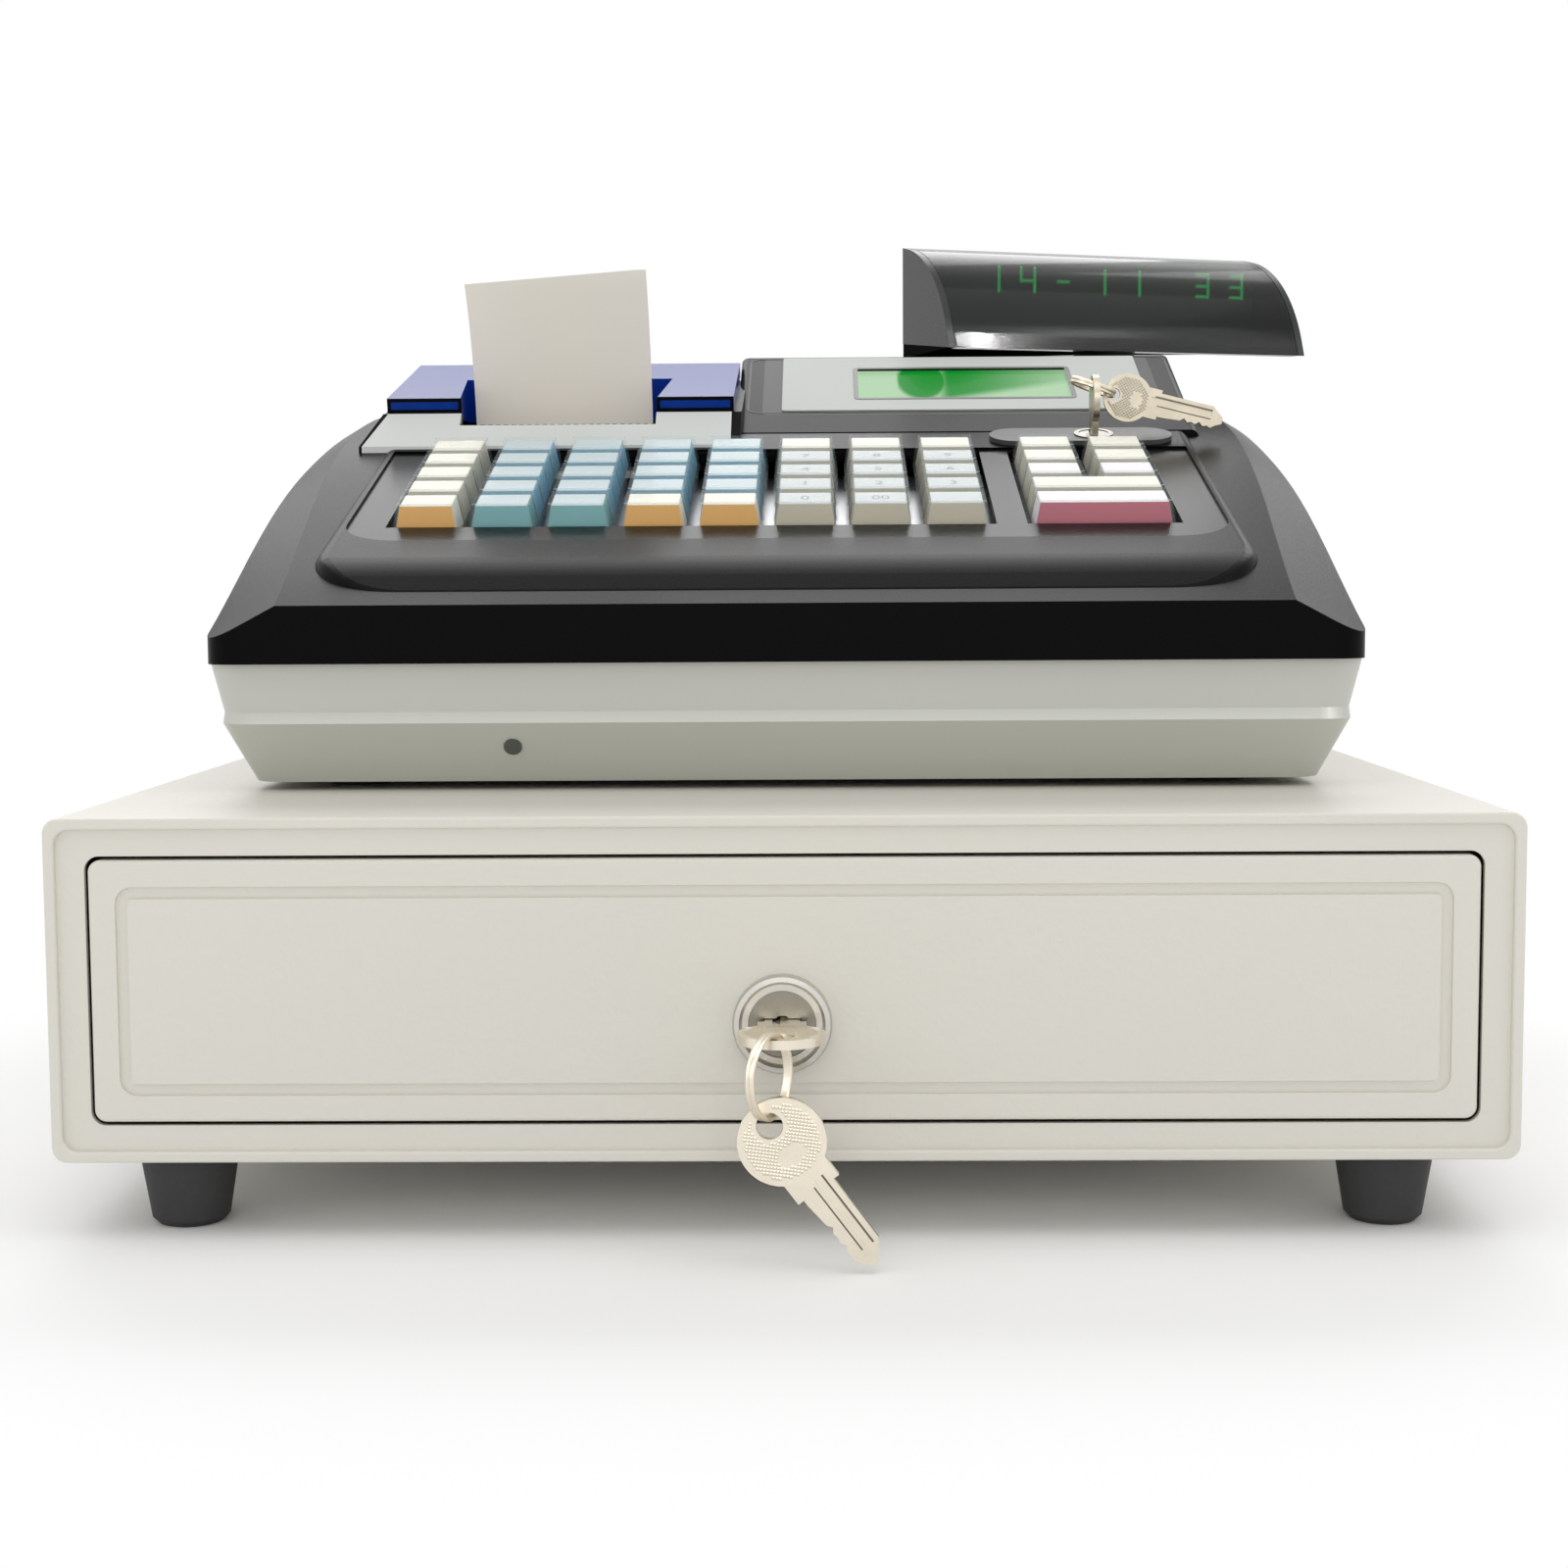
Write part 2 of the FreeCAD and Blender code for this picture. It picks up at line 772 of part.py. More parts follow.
def bill_tray():
    """The rear tray: a row of deep bays for bank notes."""
    body = new_body("bill_tub")
    half, rear, front = tray_half(), tray_rear(), coin_tray_rear() + s.seat_gap
    top = tray_floor() + s.tray_height
    pad(body, drawing(body, "XY_Plane", [rectangle(-half, front, half, rear)], shift=tray_floor()), s.tray_height)
    bay = bay_pitch(s.bill_bays)
    left = -half + s.tray_wall
    slot = rectangle(left, front + s.tray_wall, left + bay - s.tray_wall, rear - s.tray_wall)
    cut = pocket(body, drawing(body, "XY_Plane", [slot], shift=top), s.bill_sink, onward=False)
    row_of(body, cut, "X_Axis", bay, s.bill_bays)
    return in_drawer("bill_tray", body)


def bill_clip(number):
    bay = bay_pitch(s.bill_bays)
    middle = -tray_half() + s.tray_wall / 2 + bay * (number - 0.5)
    length = bay - s.tray_wall - s.seat_gap * 2
    pin = rod("clip_pin", "X", -length / 2, ZERO, ZERO, s.clip_pin, length)
    arm = block("clip_arm", -s.clip_width / 2, -s.clip_arm, -s.clip_thick / 2,
                s.clip_width, s.clip_arm, s.clip_thick)
    window = block("clip_window", -s.clip_width / 4, -s.clip_arm * 0.85, -s.clip_thick,
                   s.clip_width / 2, s.clip_arm * 0.6, s.clip_thick * 2)
    roller = rod("clip_roller", "X", -s.clip_width / 2, -s.clip_arm, -s.clip_thick / 2,
                 s.clip_thick, s.clip_width)
    item = tilt(without("clip", fused("clip_whole", pin, arm, roller), window), s.clip_drop + s.clip_drop)
    high = tray_floor() + s.tray_height - s.clip_thick * 2
    put(item, middle - s.middle_right, tray_rear() - s.tray_wall - s.clip_back - s.middle_back, high + s.foot_height)
    return keep("bill_clip_%d" % number, item)


def lock_body():
    body = new_body("lock_case")
    inside = s.lock_plug_radius + s.turning_fit
    face = -s.lock_ring_face
    inner_face = face * 0.6
    spots = [(inner_face, inside), (inner_face, inside + s.rim_recess), (face, inside + s.rim_recess * 1.5),
             (face, s.lock_ring - s.rim_recess), (face + s.rim_recess * 0.3, s.lock_ring - s.rim_recess * 0.3),
             (face + s.rim_recess, s.lock_ring), (ZERO, s.lock_ring), (ZERO, s.lock_barrel),
             (s.lock_barrel_length, s.lock_barrel), (s.lock_barrel_length, inside)]
    turn(body, drawing(body, "YZ_Plane", [spots]))
    put(body, -s.middle_right, s.front_set - s.middle_back, s.foot_height + s.lock_low)
    return keep("lock_body", body)


def turn(body, sketch):
    """A full turn of the sketch about the body's Y axis, or its Z axis for a sketch on XZ."""
    item = body.newObject("PartDesign::Revolution", body.Name + "_turn")
    item.Profile = sketch
    upright_sketch = sketch.AttachmentSupport[0][0].Role == "XZ_Plane"
    item.ReferenceAxis = (sketch, ["V_Axis" if upright_sketch else "H_Axis"])
    item.Angle = 360
    return item


def lock_plug():
    face = s.lock_plug_set - s.lock_ring_face * 0.6
    whole = rod("plug_round", "Y", ZERO, face, ZERO, s.lock_plug_radius, s.lock_barrel_length - face)
    cam = block("plug_cam", -s.cam_width / 2, s.lock_barrel_length, -s.cam_length,
                s.cam_width, s.cam_thick, s.cam_length + s.cam_width / 2)
    slot = block("plug_slot", -s.keyway_width / 2, face - s.overrun, -s.keyway_thick / 2,
                 s.keyway_width, s.lock_barrel_length, s.keyway_thick)
    eye = rod("plug_eye", "Y", ZERO, face - s.overrun, ZERO, s.keyway_thick * 0.8, s.overrun + s.key_hole)
    item = without("plug", fused("plug_whole", whole, cam), slot, eye)
    put(item, -s.middle_right, s.front_set - s.middle_back, s.foot_height + s.lock_low)
    return keep("lock_plug", item)


def flat_key(name, role, bow, hole, hole_out, blade, shoulder, length, thick):
    """A flat key with its bow round the start and its blade along the sketch's upward axis."""
    body = new_body(name)
    half = thick / 2
    round_bow = drawing(body, role, circles=[(ZERO, ZERO, bow)])
    pad(body, round_bow, thick, both=True)
    neck = bow * 1.35
    side = blade / 2
    deep = side - s.key_notch
    notches = []
    for place, share in enumerate((0.9, 0.78, 0.66, 0.54, 0.42)):
        reach = neck + (length - neck) * share
        drop = deep + s.key_notch * (0.35 if place % 2 else 0.0)
        notches.append((drop, reach))
        notches.append((side * 0.85, reach - (length - neck) * 0.06))
    stem = [(-shoulder, ZERO), (-shoulder, neck), (-side, neck), (-side, length - side), (ZERO - side * 0.2, length),
            (side * 0.3, length)] + notches + [(side, neck + s.key_notch), (side, neck), (shoulder, neck), (shoulder, ZERO)]
    pad(body, drawing(body, role, [stem]), thick, both=True)
    eye = pocket(body, drawing(body, role, circles=[(ZERO, -hole_out, hole)]), thick * 2, both=True)
    groove = rectangle(-side * 0.55, bow * 0.95, -side * 0.1, length - side)
    for face in (half - s.key_groove, -half + s.key_groove):
        sketch = drawing(body, role, [groove], shift=face)
        pocket(body, sketch, thick, onward=face.value > 0)
    return body


def drawer_key():
    body = flat_key("drawer_key_body", "XY_Plane", s.key_bow, s.key_hole, s.key_hole_out, s.key_blade,
                    s.key_shoulder, s.key_length, s.key_thick)
    put(body, -s.middle_right, s.front_set - s.key_bow_out - s.middle_back, s.foot_height + s.lock_low)
    return keep("drawer_key", body)


def double_ring(name, radius, wire):
    """A split ring: two turns of wire side by side, standing upright across the X axis."""
    body = new_body(name + "_turns")
    low, high, side, cut = radius - wire, radius + wire, wire * 1.96, wire / 2
    spots = [(low, side - cut), (low, cut - side), (low + cut, -side), (high - cut, -side), (high, cut - side),
             (high, -cut), (high - cut, ZERO), (high, cut), (high, side - cut), (high - cut, side), (low + cut, side)]
    turn(body, drawing(body, "XZ_Plane", [spots]))
    body.Placement = FreeCAD.Placement(FreeCAD.Vector(), FreeCAD.Rotation(*TURNS["X"]))
    return together(name, body)


def ring_spot():
    """The middle of the ring that hangs in the bow of the drawer key."""
    high = s.lock_low + s.key_thick / 2 + s.seat_gap * 2 - s.ring_radius + s.ring_wire
    drop = s.lock_low - high
    reach = Size(math.sqrt(s.ring_radius.value ** 2 - drop.value ** 2),
                 "sqrt(%s * %s - %s * %s)" % (s.ring_radius.text, s.ring_radius.text, drop.text, drop.text))
    hole = s.front_set - s.key_bow_out - s.key_hole_out
    return (-reach * sine(s.ring_turn) * 0.96, hole - reach * cosine(s.ring_turn) * 0.96, high)


def key_ring():
    item = double_ring("split_ring", s.ring_radius, s.ring_wire)
    right, back, high = ring_spot()
    tilt(item, -s.ring_turn, (0, 0, 1))
    put(item, right - s.middle_right, back - s.middle_back, high + s.foot_height)
    return keep("key_ring", item)


def hanging_key():
    body = flat_key("hanging_key_body", "XZ_Plane", s.key_bow, s.key_hole, s.key_hole_out, s.key_blade,
                    s.key_shoulder, s.key_length, s.key_thick)
    right, back, high = ring_spot()
    hole_high = high - s.ring_radius + s.ring_wire + s.seat_gap * 3 - s.key_hole
    across = right + sine(s.hanging_turn) * s.key_hole_out
    down = hole_high - cosine(s.hanging_turn) * s.key_hole_out
    tilt(body, -s.hanging_turn + 180, (0, 1, 0))
    put(body, across - s.middle_right, back - s.middle_back, down + s.foot_height)
    return keep("hanging_key", body)


# The register. Its own frame starts on the drawer housing's top, at the middle of the front.

TUB_SHARES = (("base_gap", "base_foot", "base_front_low", 0.0),
              ("base_ledge_low", "base_waist", "base_front", 0.0),
              ("base_ledge_high", "base_waist", "base_front", 1.0),
              ("base_top", "base_half", "base_front", 0.5))


def tub_sections(body, inset):
    sketches = []
    for place, (height, side, front, set_back) in enumerate(TUB_SHARES):
        high = getattr(s, height)
        if inset is not ZERO and place == 0:
            high = high + inset
        if inset is not ZERO and place == len(TUB_SHARES) - 1:
            high = high + s.overrun
        half = getattr(s, side) - inset
        start = getattr(s, front) + s.base_ledge * set_back + inset
        shape = rectangle(-half, start, half, s.base_rear - inset, s.base_round - inset)
        sketches.append(drawing(body, "XY_Plane", [shape], shift=high))
    return sketches


def loft(body, sketches, ruled=True, kind="PartDesign::AdditiveLoft"):
    item = body.newObject(kind, body.Name + "_loft")
    item.Profile = sketches[0]
    item.Sections = sketches[1:]
    item.Ruled = ruled
    return item


def lens_rod(name, out, radius, length):
    """A rod square to the base's sloping front, at the lamp's place."""
    item = DOC.addObject("Part::Cylinder", name)
    bind(item, "Radius", radius)
    bind(item, "Height", length)
    tilt(item, -s.lens_lean)
    run = (s.base_ledge_low - s.lens_high) / (s.base_ledge_low - s.base_gap)
    face = s.base_front + (s.base_front_low - s.base_front) * run
    return put(item, s.lens_right, face - sine(s.lens_lean) * out, s.lens_high - cosine(s.lens_lean) * out)


def socket_blocks():
    """The mains inlet and the drawer jack: place, width and height of each."""
    return ((s.inlet_right, s.inlet_width, s.inlet_height), (s.jack_right, s.jack_width, s.jack_height))


def socket_box(name, right, width, height, spread, rear, depth):
    return block(name, right - width / 2 + spread, rear - depth, s.socket_middle - height / 2 + spread,
                 width - spread * 2, depth, height - spread * 2)


def base_case():
    body = new_body("base_tub")
    loft(body, tub_sections(body, ZERO))
    loft(body, tub_sections(body, s.base_wall), kind="PartDesign::SubtractiveLoft")
    tools = [lens_rod("lens_hole", s.overrun, s.lens_radius + s.turning_fit, s.overrun * 3)]
    for right, width, height in socket_blocks():
        tools.append(socket_box("socket_hole", right, width, height, ZERO, s.base_rear + s.overrun, s.overrun * 3))
    return in_register("base_case", without("base", body, *tools))


def base_feet():
    feet = []
    for side in (-1, 1):
        for back in (s.base_front_low + s.base_pad * 3, s.base_rear - s.base_pad * 3):
            right = s.base_foot - s.base_pad * 3
            feet.append(rod("base_pad", "Z", right * side, back, ZERO, s.base_pad, s.base_gap))
    return in_register("base_feet", together("pads", *feet))


def indicator_lens():
    lens = lens_rod("lens_stem", s.lens_proud, s.lens_radius, s.base_wall * 2)
    return in_register("indicator_lens", together("lamp", lens))


COVER_DEPTH_SHARES = (0.0, 0.154, 0.311, 0.465, 0.631, 0.808, 1.0)
COVER_SIDE_SHARES = (0.0, 0.257, 0.511, 0.690, 0.834, 0.930, 1.0)
COVER_TOP_SHARES = (0.0, 0.245, 0.481, 0.690, 0.841, 0.936, 1.0)
COVER_WIDEN_SHARES = (0.0, 0.27, 0.577, 0.77, 0.885, 0.96, 1.0)


def cover_sections(body, inset):
    """Upright cross-sections from the lip to the rear: a flat top with a bevel down each side."""
    sketches = []
    length = s.base_rear - s.cover_front - inset * 2
    for place, share in enumerate(COVER_DEPTH_SHARES):
        half = s.cover_half - inset
        side_high = s.cover_side_low + s.cover_side_rise * COVER_SIDE_SHARES[place] - inset
        top_high = s.cover_top_low + s.cover_top_rise * COVER_TOP_SHARES[place] - inset
        top_half = s.cover_top_half + s.cover_top_widen * COVER_WIDEN_SHARES[place] - inset / 2
        low = s.base_top - (s.overrun if inset is not ZERO else ZERO)
        shape = [(-half, low), (half, low), (half, side_high), (top_half, top_high),
                 (-top_half, top_high), (-half, side_high)]
        start = s.cover_front + inset
        sketches.append(drawing(body, "XZ_Plane", [shape], shift=start + length * share))
    return sketches


def cover_shell(name, inset):
    body = new_body(name)
    loft(body, cover_sections(body, inset), ruled=False)
    plan = new_body(name + "_plan")
    half = s.cover_half - inset
    shape = rectangle(-half, s.cover_front + inset, half, s.base_rear - inset, s.cover_round - inset)
    pad(plan, drawing(plan, "XY_Plane", [shape]), s.silver_high * 2)
    return shared(name + "_whole", body, plan)


def deck_line(back):
    """The height of the keyboard deck's plane at a distance from the drawer's front."""
    return s.deck_high + tangent(s.deck_slope) * (back - s.deck_back)


def deck_rise():
    """The raised deck: a sloping slab with a rolled front, cut to a rounded plan."""
    slab = new_body("deck_slab")
    thick = s.deck_thick
    brow = s.bulge_brow
    rear_high = deck_line(s.deck_rear)
    side = [(s.bulge_front, s.bulge_low), (brow, deck_line(brow), s.bulge_round), (s.deck_rear, rear_high),
            (s.deck_rear, rear_high - thick), (s.bulge_front, s.bulge_low - thick)]
    pad(slab, drawing(slab, "YZ_Plane", [side]), s.deck_half * 2, both=True)
    plan = new_body("deck_plan")
    shape = [(-s.deck_half, s.bulge_front, s.deck_round), (s.deck_half, s.bulge_front, s.deck_round),
             (s.deck_half, s.deck_rear), (-s.deck_half, s.deck_rear)]
    pad(plan, drawing(plan, "XY_Plane", [shape]), s.deck_high * 2)
    whole = shared("deck_whole", slab, plan)
    DOC.recompute()
    chosen = []
    for number, edge in enumerate(whole.Shape.Edges, start=1):
        middle = edge.valueAt((edge.FirstParameter + edge.LastParameter) / 2)
        if edge.BoundBox.ZLength > thick.value and edge.BoundBox.YLength < s.housing_wall.value:
            continue
        top = deck_line(s.deck_back).value + math.tan(math.radians(s.deck_slope.value)) * (middle.y - s.deck_back.value)
        on_side = abs(middle.x) > s.deck_half.value * 0.9 and middle.y < s.deck_rear.value - s.housing_wall.value
        if on_side and middle.z > top - thick.value / 2:
            chosen.append((number, s.deck_edge.value, s.deck_edge.value))
    edged = DOC.addObject("Part::Fillet", "deck_edged")
    edged.Base = whole
    edged.Edges = chosen
    return edged


def deck_place(item):
    """Puts a tool, drawn flat, on the keyboard deck's plane in the register's frame."""
    return put(tilt(together(item.Name + "_set", item), s.deck_slope), ZERO, s.deck_back, s.deck_high)


def key_spots():
    """For each block of keys: the columns' centres, the first row and the number of rows."""
    left = [s.keys_left + s.keys_step * column for column in range(int(s.keys_columns.value))]
    right = [s.keys_right - s.keys_step / 2, s.keys_right + s.keys_step / 2]
    return left, right


def row_middle(row):
    return s.keys_first + s.keys_pitch * (row + 0.5)


def wells(low, high, spread):
    """The two openings in the deck that the keys stand in."""
    left, right = key_spots()
    items = []
    for columns in (left, right):
        start = columns[0] - s.keys_foot_width / 2 - spread
        width = columns[-1] - columns[0] + s.keys_foot_width + spread * 2
        front = row_middle(0) - s.keys_foot_length / 2 - spread
        length = s.keys_pitch * (s.keys_rows - 1) + s.keys_foot_length + spread * 2
        items.append(block("well", start, front, low, width, length, high - low))
    return fused("wells", *items)


def frame_outline():
    half = s.deck_half - s.deck_edge
    rear = row_middle(s.keys_rows.value) - s.keys_pitch / 2 + s.well_margin * 2
    return half, -s.keys_foot_length * 0.36, rear


def frame_slab(name, low, high):
    body = new_body(name)
    half, front, rear = frame_outline()
    bend = s.deck_round * 0.6
    shape = [(-half, front, bend), (half, front, bend), (half, rear), (-half, rear)]
    pad(body, drawing(body, "XY_Plane", [shape], shift=low), high - low)
    return body


def keyboard_frame():
    """The glossy plate let into the deck round the keys."""
    slab = frame_slab("frame_slab", -s.frame_sink - s.frame_thick, -s.frame_sink)
    item = without("frame", slab, wells(-s.overrun, s.overrun, s.well_margin))
    return on_deck("keyboard_frame", item)


def screen_line(along, out):
    return slope_spot(s.screen_front, s.screen_low, s.screen_slope, along, out)


def screen_rise():
    """The raised housing of the operator's display, with rounded shoulders."""
    body = new_body("screen_rise")
    rear_back, rear_high = screen_line(s.screen_length, ZERO)
    low = s.screen_low - s.cover_wall * 4
    side = [(s.screen_front, low), (s.screen_front, s.screen_low), (rear_back, rear_high),
            (rear_back + s.screen_round, rear_high - s.screen_round), (rear_back + s.screen_round * 1.6, low)]
    middle = (s.screen_left + s.screen_right) / 2
    sketch = drawing(body, "YZ_Plane", [side], shift=middle)
    whole = pad(body, sketch, s.screen_right - s.screen_left, both=True)
    body.Tip = rounded(body, whole, s.screen_round / 2, up_the_screen)
    return body


def up_the_screen(edge):
    """The two sloping edges at the sides of the display housing's top."""
    box = edge.BoundBox
    level = box.XLength < s.housing_wall.value * 0.1
    return level and box.YLength > s.screen_length.value * 0.8 and box.ZLength > s.screen_length.value * 0.2


def screen_hollow():
    """The space under the display housing's skin."""
    body = new_body("screen_space")
    wall = s.cover_wall
    rear_back, rear_high = screen_line(s.screen_length - wall, -wall * 2)
    front_back, front_high = screen_line(wall * 3, -wall * 2)
    low = s.screen_low - wall * 6
    side = [(front_back, low), (front_back, front_high), (rear_back, rear_high), (rear_back, low)]
    middle = (s.screen_left + s.screen_right) / 2
    pad(body, drawing(body, "YZ_Plane", [side], shift=middle), s.screen_right - s.screen_left - wall * 2, both=True)
    return body


def lid_line(along, out):
    return slope_spot(s.lid_front, s.lid_high, s.lid_slope, along, out)


def lean_left(body, spread):
    """Trims the left end of the printer's walls to the line that leans inwards."""
    front, turn_back, rear = s.tray_front - spread, s.silver_back, s.bay_rear + s.overrun
    left = s.silver_left - spread
    out = left - s.overrun * 2
    corner = [(out, front), (left, front), (left + s.silver_taper, turn_back), (left + s.silver_taper, rear),
              (out, rear)]
    sketch = drawing(body, "XY_Plane", [corner], shift=s.silver_low / 2)
    return pocket(body, sketch, s.silver_low)


def printer_rise():
    """The raised walls that carry the silver plate in front and the blue lid on top."""
    body = new_body("printer_rise")
    drop = s.lid_thick + s.seat_gap
    top_back, top_high = lid_line(s.seat_gap, -drop)
    boss = lid_pivot() + s.lid_boss
    rear_back, rear_high = lid_line(boss, -drop)
    foot_back, foot_high = lid_line(boss, -s.lid_pivot_drop - s.lid_boss)
    low = s.silver_low - s.cover_wall * 4
    end = s.bay_rear + s.bay_wall
    side = [(s.tray_front, low), (s.tray_front, s.silver_low), (s.silver_back, s.silver_high),
            (top_back, top_high), (rear_back, rear_high, s.lid_boss * 0.97), (foot_back, foot_high),
            (end, foot_high - s.bay_wall), (end, low)]
    left = s.silver_left - s.bay_wall
    pad(body, drawing(body, "YZ_Plane", [side], shift=left), s.screen_left + s.bay_wall - left)
    lean_left(body, s.housing_wall)
    return body


def silver_plate(name):
    """The sloping plate below the paper slot; its left end leans inwards."""
    body = new_body(name)
    drop = s.silver_thick * 1.3
    side = [(s.tray_front, s.silver_low), (s.silver_back, s.silver_high), (s.silver_back, s.silver_high - drop),
            (s.tray_front, s.silver_low - drop)]
    pad(body, drawing(body, "YZ_Plane", [side], shift=s.silver_left), s.silver_right - s.silver_left)
    lean_left(body, ZERO)
    slot = rectangle(s.notch_left, s.silver_back - s.overrun, s.notch_right, s.silver_back + s.overrun)
    pocket(body, drawing(body, "XY_Plane", [slot], shift=s.silver_low / 2), s.silver_low)
    return body


def bay_box(name, spread):
    wall = s.bay_wall + spread
    left = s.lid_left + wall
    start = s.lid_front + wall
    return block(name, left, start, s.base_top - s.overrun, s.lid_right - s.lid_left - wall * 2,
                 s.bay_rear - start - spread, s.silver_high * 2)


def notch_block(name):
    return block(name, s.notch_left, s.silver_back - s.overrun, s.tear_high - s.tear_thick * 2.5,
                 s.notch_right - s.notch_left, s.overrun * 3, s.overrun * 3)


def screen_slab(name, left, right, low, high, bottom, top, bend):
    body = new_body(name)
    pad(body, drawing(body, "XY_Plane", [rectangle(left, low, right, high, bend)], shift=bottom), top - bottom)
    return body


def screen_place(item):
    return put(tilt(together(item.Name + "_set", item), s.screen_slope), ZERO, s.screen_front, s.screen_low)


def bezel_slab(name, bottom, top):
    return screen_slab(name, s.screen_left + s.window_margin, s.screen_right - s.window_margin,
                       s.window_front, s.screen_length - s.window_sink, bottom, top, s.screen_round / 2)


def glass_block(name, spread, bottom, top):
    return block(name, s.glass_left - spread, s.glass_low - spread, bottom,
                 s.glass_right - s.glass_left + spread * 2, s.glass_high - s.glass_low + spread * 2, top - bottom)


def pole_spot():
    """The axis of the customer display's pole: under the middle of its head."""
    right = s.head_left + cosine(s.head_turn) * (s.head_length / 2) + sine(s.head_turn) * (s.head_depth / 2)
    back = s.head_back + sine(s.head_turn) * (s.head_length / 2) - cosine(s.head_turn) * (s.head_depth / 2)
    return right, back


def mode_axis(out):
    """A place on the mode lock's axis, at a height over the deck's face."""
    back, high = slope_spot(s.deck_back, s.deck_high, s.deck_slope, s.mode_back, out)
    return s.mode_right, back, high


def plate_outline():
    """The keyboard's guide plate on the deck: its left, front, right and rear edges."""
    left, right = key_spots()
    start = left[0] - s.keys_foot_width / 2 - s.plate_margin
    end = right[-1] + s.keys_foot_width / 2 + s.plate_margin
    return start, row_middle(0) - s.keys_pitch, end, row_middle(s.keys_rows.value - 0.15)


def cover_posts():
    """Posts under the deck that the guide plate is screwed to."""
    start, front, end, rear = plate_outline()
    inset = s.plate_margin / 2
    low = s.plate_low + s.plate_thick
    posts = []
    for across in (start + inset, end - inset):
        for along in (front + inset, rear - inset):
            posts.append(rod("cover_post", "Z", across, along, low, s.plate_margin / 3.5, -low - s.frame_sink * 4))
    return deck_place(fused("cover_posts", *posts))


def top_cover():
    right, back = pole_spot()
    outer = fused("cover_outer", cover_shell("cover_skin", ZERO), deck_rise(), screen_rise(), printer_rise())
    shell = without("cover_hollowed", outer, cover_shell("cover_space", s.cover_wall), screen_hollow())
    boss = rod("pole_boss", "Z", right, back, s.pole_base_high - s.pole_collar, s.pole_collar, s.pole_collar)
    whole = fused("cover_whole", shell, boss, cover_posts())
    key_wells = deck_place(wells(-s.cover_wall * 3, s.overrun * 2, s.well_margin))
    frame_seat = deck_place(frame_slab("frame_seat", -s.frame_sink - s.frame_thick, s.overrun))
    screen_seat = screen_place(bezel_slab("screen_seat", -s.window_sink, s.overrun))
    glass_seat = screen_place(glass_block("glass_seat", s.seat_gap, -s.cover_wall * 5, s.overrun))
    barrel = s.mode_barrel + s.turning_fit
    mode_hole = deck_place(rod("mode_hole", "Z", s.mode_right, s.mode_back, -s.mode_barrel_length, barrel,
                               s.mode_barrel_length * 2))
    pole_hole = rod("pole_hole", "Z", right, back, s.base_top, s.pole_radius + s.turning_fit, s.pole_base_high)
    pin_back, pin_high = lid_line(lid_pivot(), -s.lid_pivot_drop)
    pins = rod("lid_pin_hole", "X", s.lid_left, pin_back, pin_high, s.lid_pin + s.turning_fit,
               s.lid_right - s.lid_left)
    item = without("cover", whole, key_wells, frame_seat, screen_seat, glass_seat, mode_hole, pole_hole,
                   bay_box("bay_cut", ZERO), silver_plate("silver_seat"), notch_block("notch_cut"), pins)
    return in_register("top_cover", item)


def lid_pivot():
    return s.lid_length * 0.9


def printer_plate():
    return in_register("printer_plate", silver_plate("silver_plate_body"))


def printer_frame():
    """The chassis in the bay: two cheeks, the roll's bucket and the print head's block."""
    body = new_body("printer_chassis")
    outer_left = s.lid_left + s.bay_wall + s.seat_gap
    outer_right = s.lid_right - s.bay_wall - s.seat_gap
    left, right = outer_left + s.bay_wall, outer_right - s.bay_wall
    foot = s.base_gap + s.base_wall
    top = s.tear_high - s.tear_thick * 2.5
    deck = s.bay_low + s.bay_wall
    shape = [(outer_left, foot), (left, foot), (left, s.bay_low), (right, s.bay_low), (right, foot),
             (outer_right, foot), (outer_right, top), (right, top), (right, deck), (left, deck), (left, top),
             (outer_left, top)]
    start = s.lid_front + s.bay_wall + s.seat_gap
    pad(body, drawing(body, "XZ_Plane", [shape], shift=start), s.bay_rear - start - s.seat_gap)
    head_length = s.paper_back - s.tear_thick * 2 - start
    head = block("print_head", left, start, top - s.platen_radius * 2, right - left, head_length, s.platen_radius * 2)
    shaft = rod("shaft_bore", "X", outer_left - s.overrun, platen_back(), platen_high(),
                s.platen_shaft + s.turning_fit, outer_right - outer_left + s.overrun * 2)
    spindle = rod("spindle_bore", "X", outer_left - s.overrun, s.roll_back, roll_high(),
                  s.platen_shaft + s.turning_fit, outer_right - outer_left + s.overrun * 2)
    return in_register("printer_frame", without("chassis", fused("chassis_whole", body, head), shaft, spindle))


def platen_back():
    return s.paper_back + s.platen_radius + s.turning_fit * 3


def platen_high():
    return s.paper_low + s.paper_thick


def roll_high():
    return s.bay_low + s.bay_wall + s.roll_radius + s.seat_gap


def platen_roller():
    left = s.lid_left + s.bay_wall + s.seat_gap
    width = s.lid_right - s.lid_left - (s.bay_wall + s.seat_gap) * 2
    shaft = rod("platen_shaft", "X", left, platen_back(), platen_high(), s.platen_shaft, width)
    inset = s.bay_wall + s.overrun
    rubber = rod("platen_rubber", "X", left + inset, platen_back(), platen_high(), s.platen_radius, width - inset * 2)
    return in_register("platen_roller", fused("platen", shaft, rubber))


def paper_roll():
    """The roll of paper on its spindle."""
    left = s.lid_left + s.bay_wall + s.seat_gap
    width = s.lid_right - s.lid_left - (s.bay_wall + s.seat_gap) * 2
    roll = rod("roll_paper", "X", s.paper_right - s.paper_width / 2, s.roll_back, roll_high(),
               s.roll_radius, s.paper_width)
    spindle = rod("roll_spindle", "X", left, s.roll_back, roll_high(), s.platen_shaft, width)
    return in_register("paper_roll", fused("roll", roll, spindle))


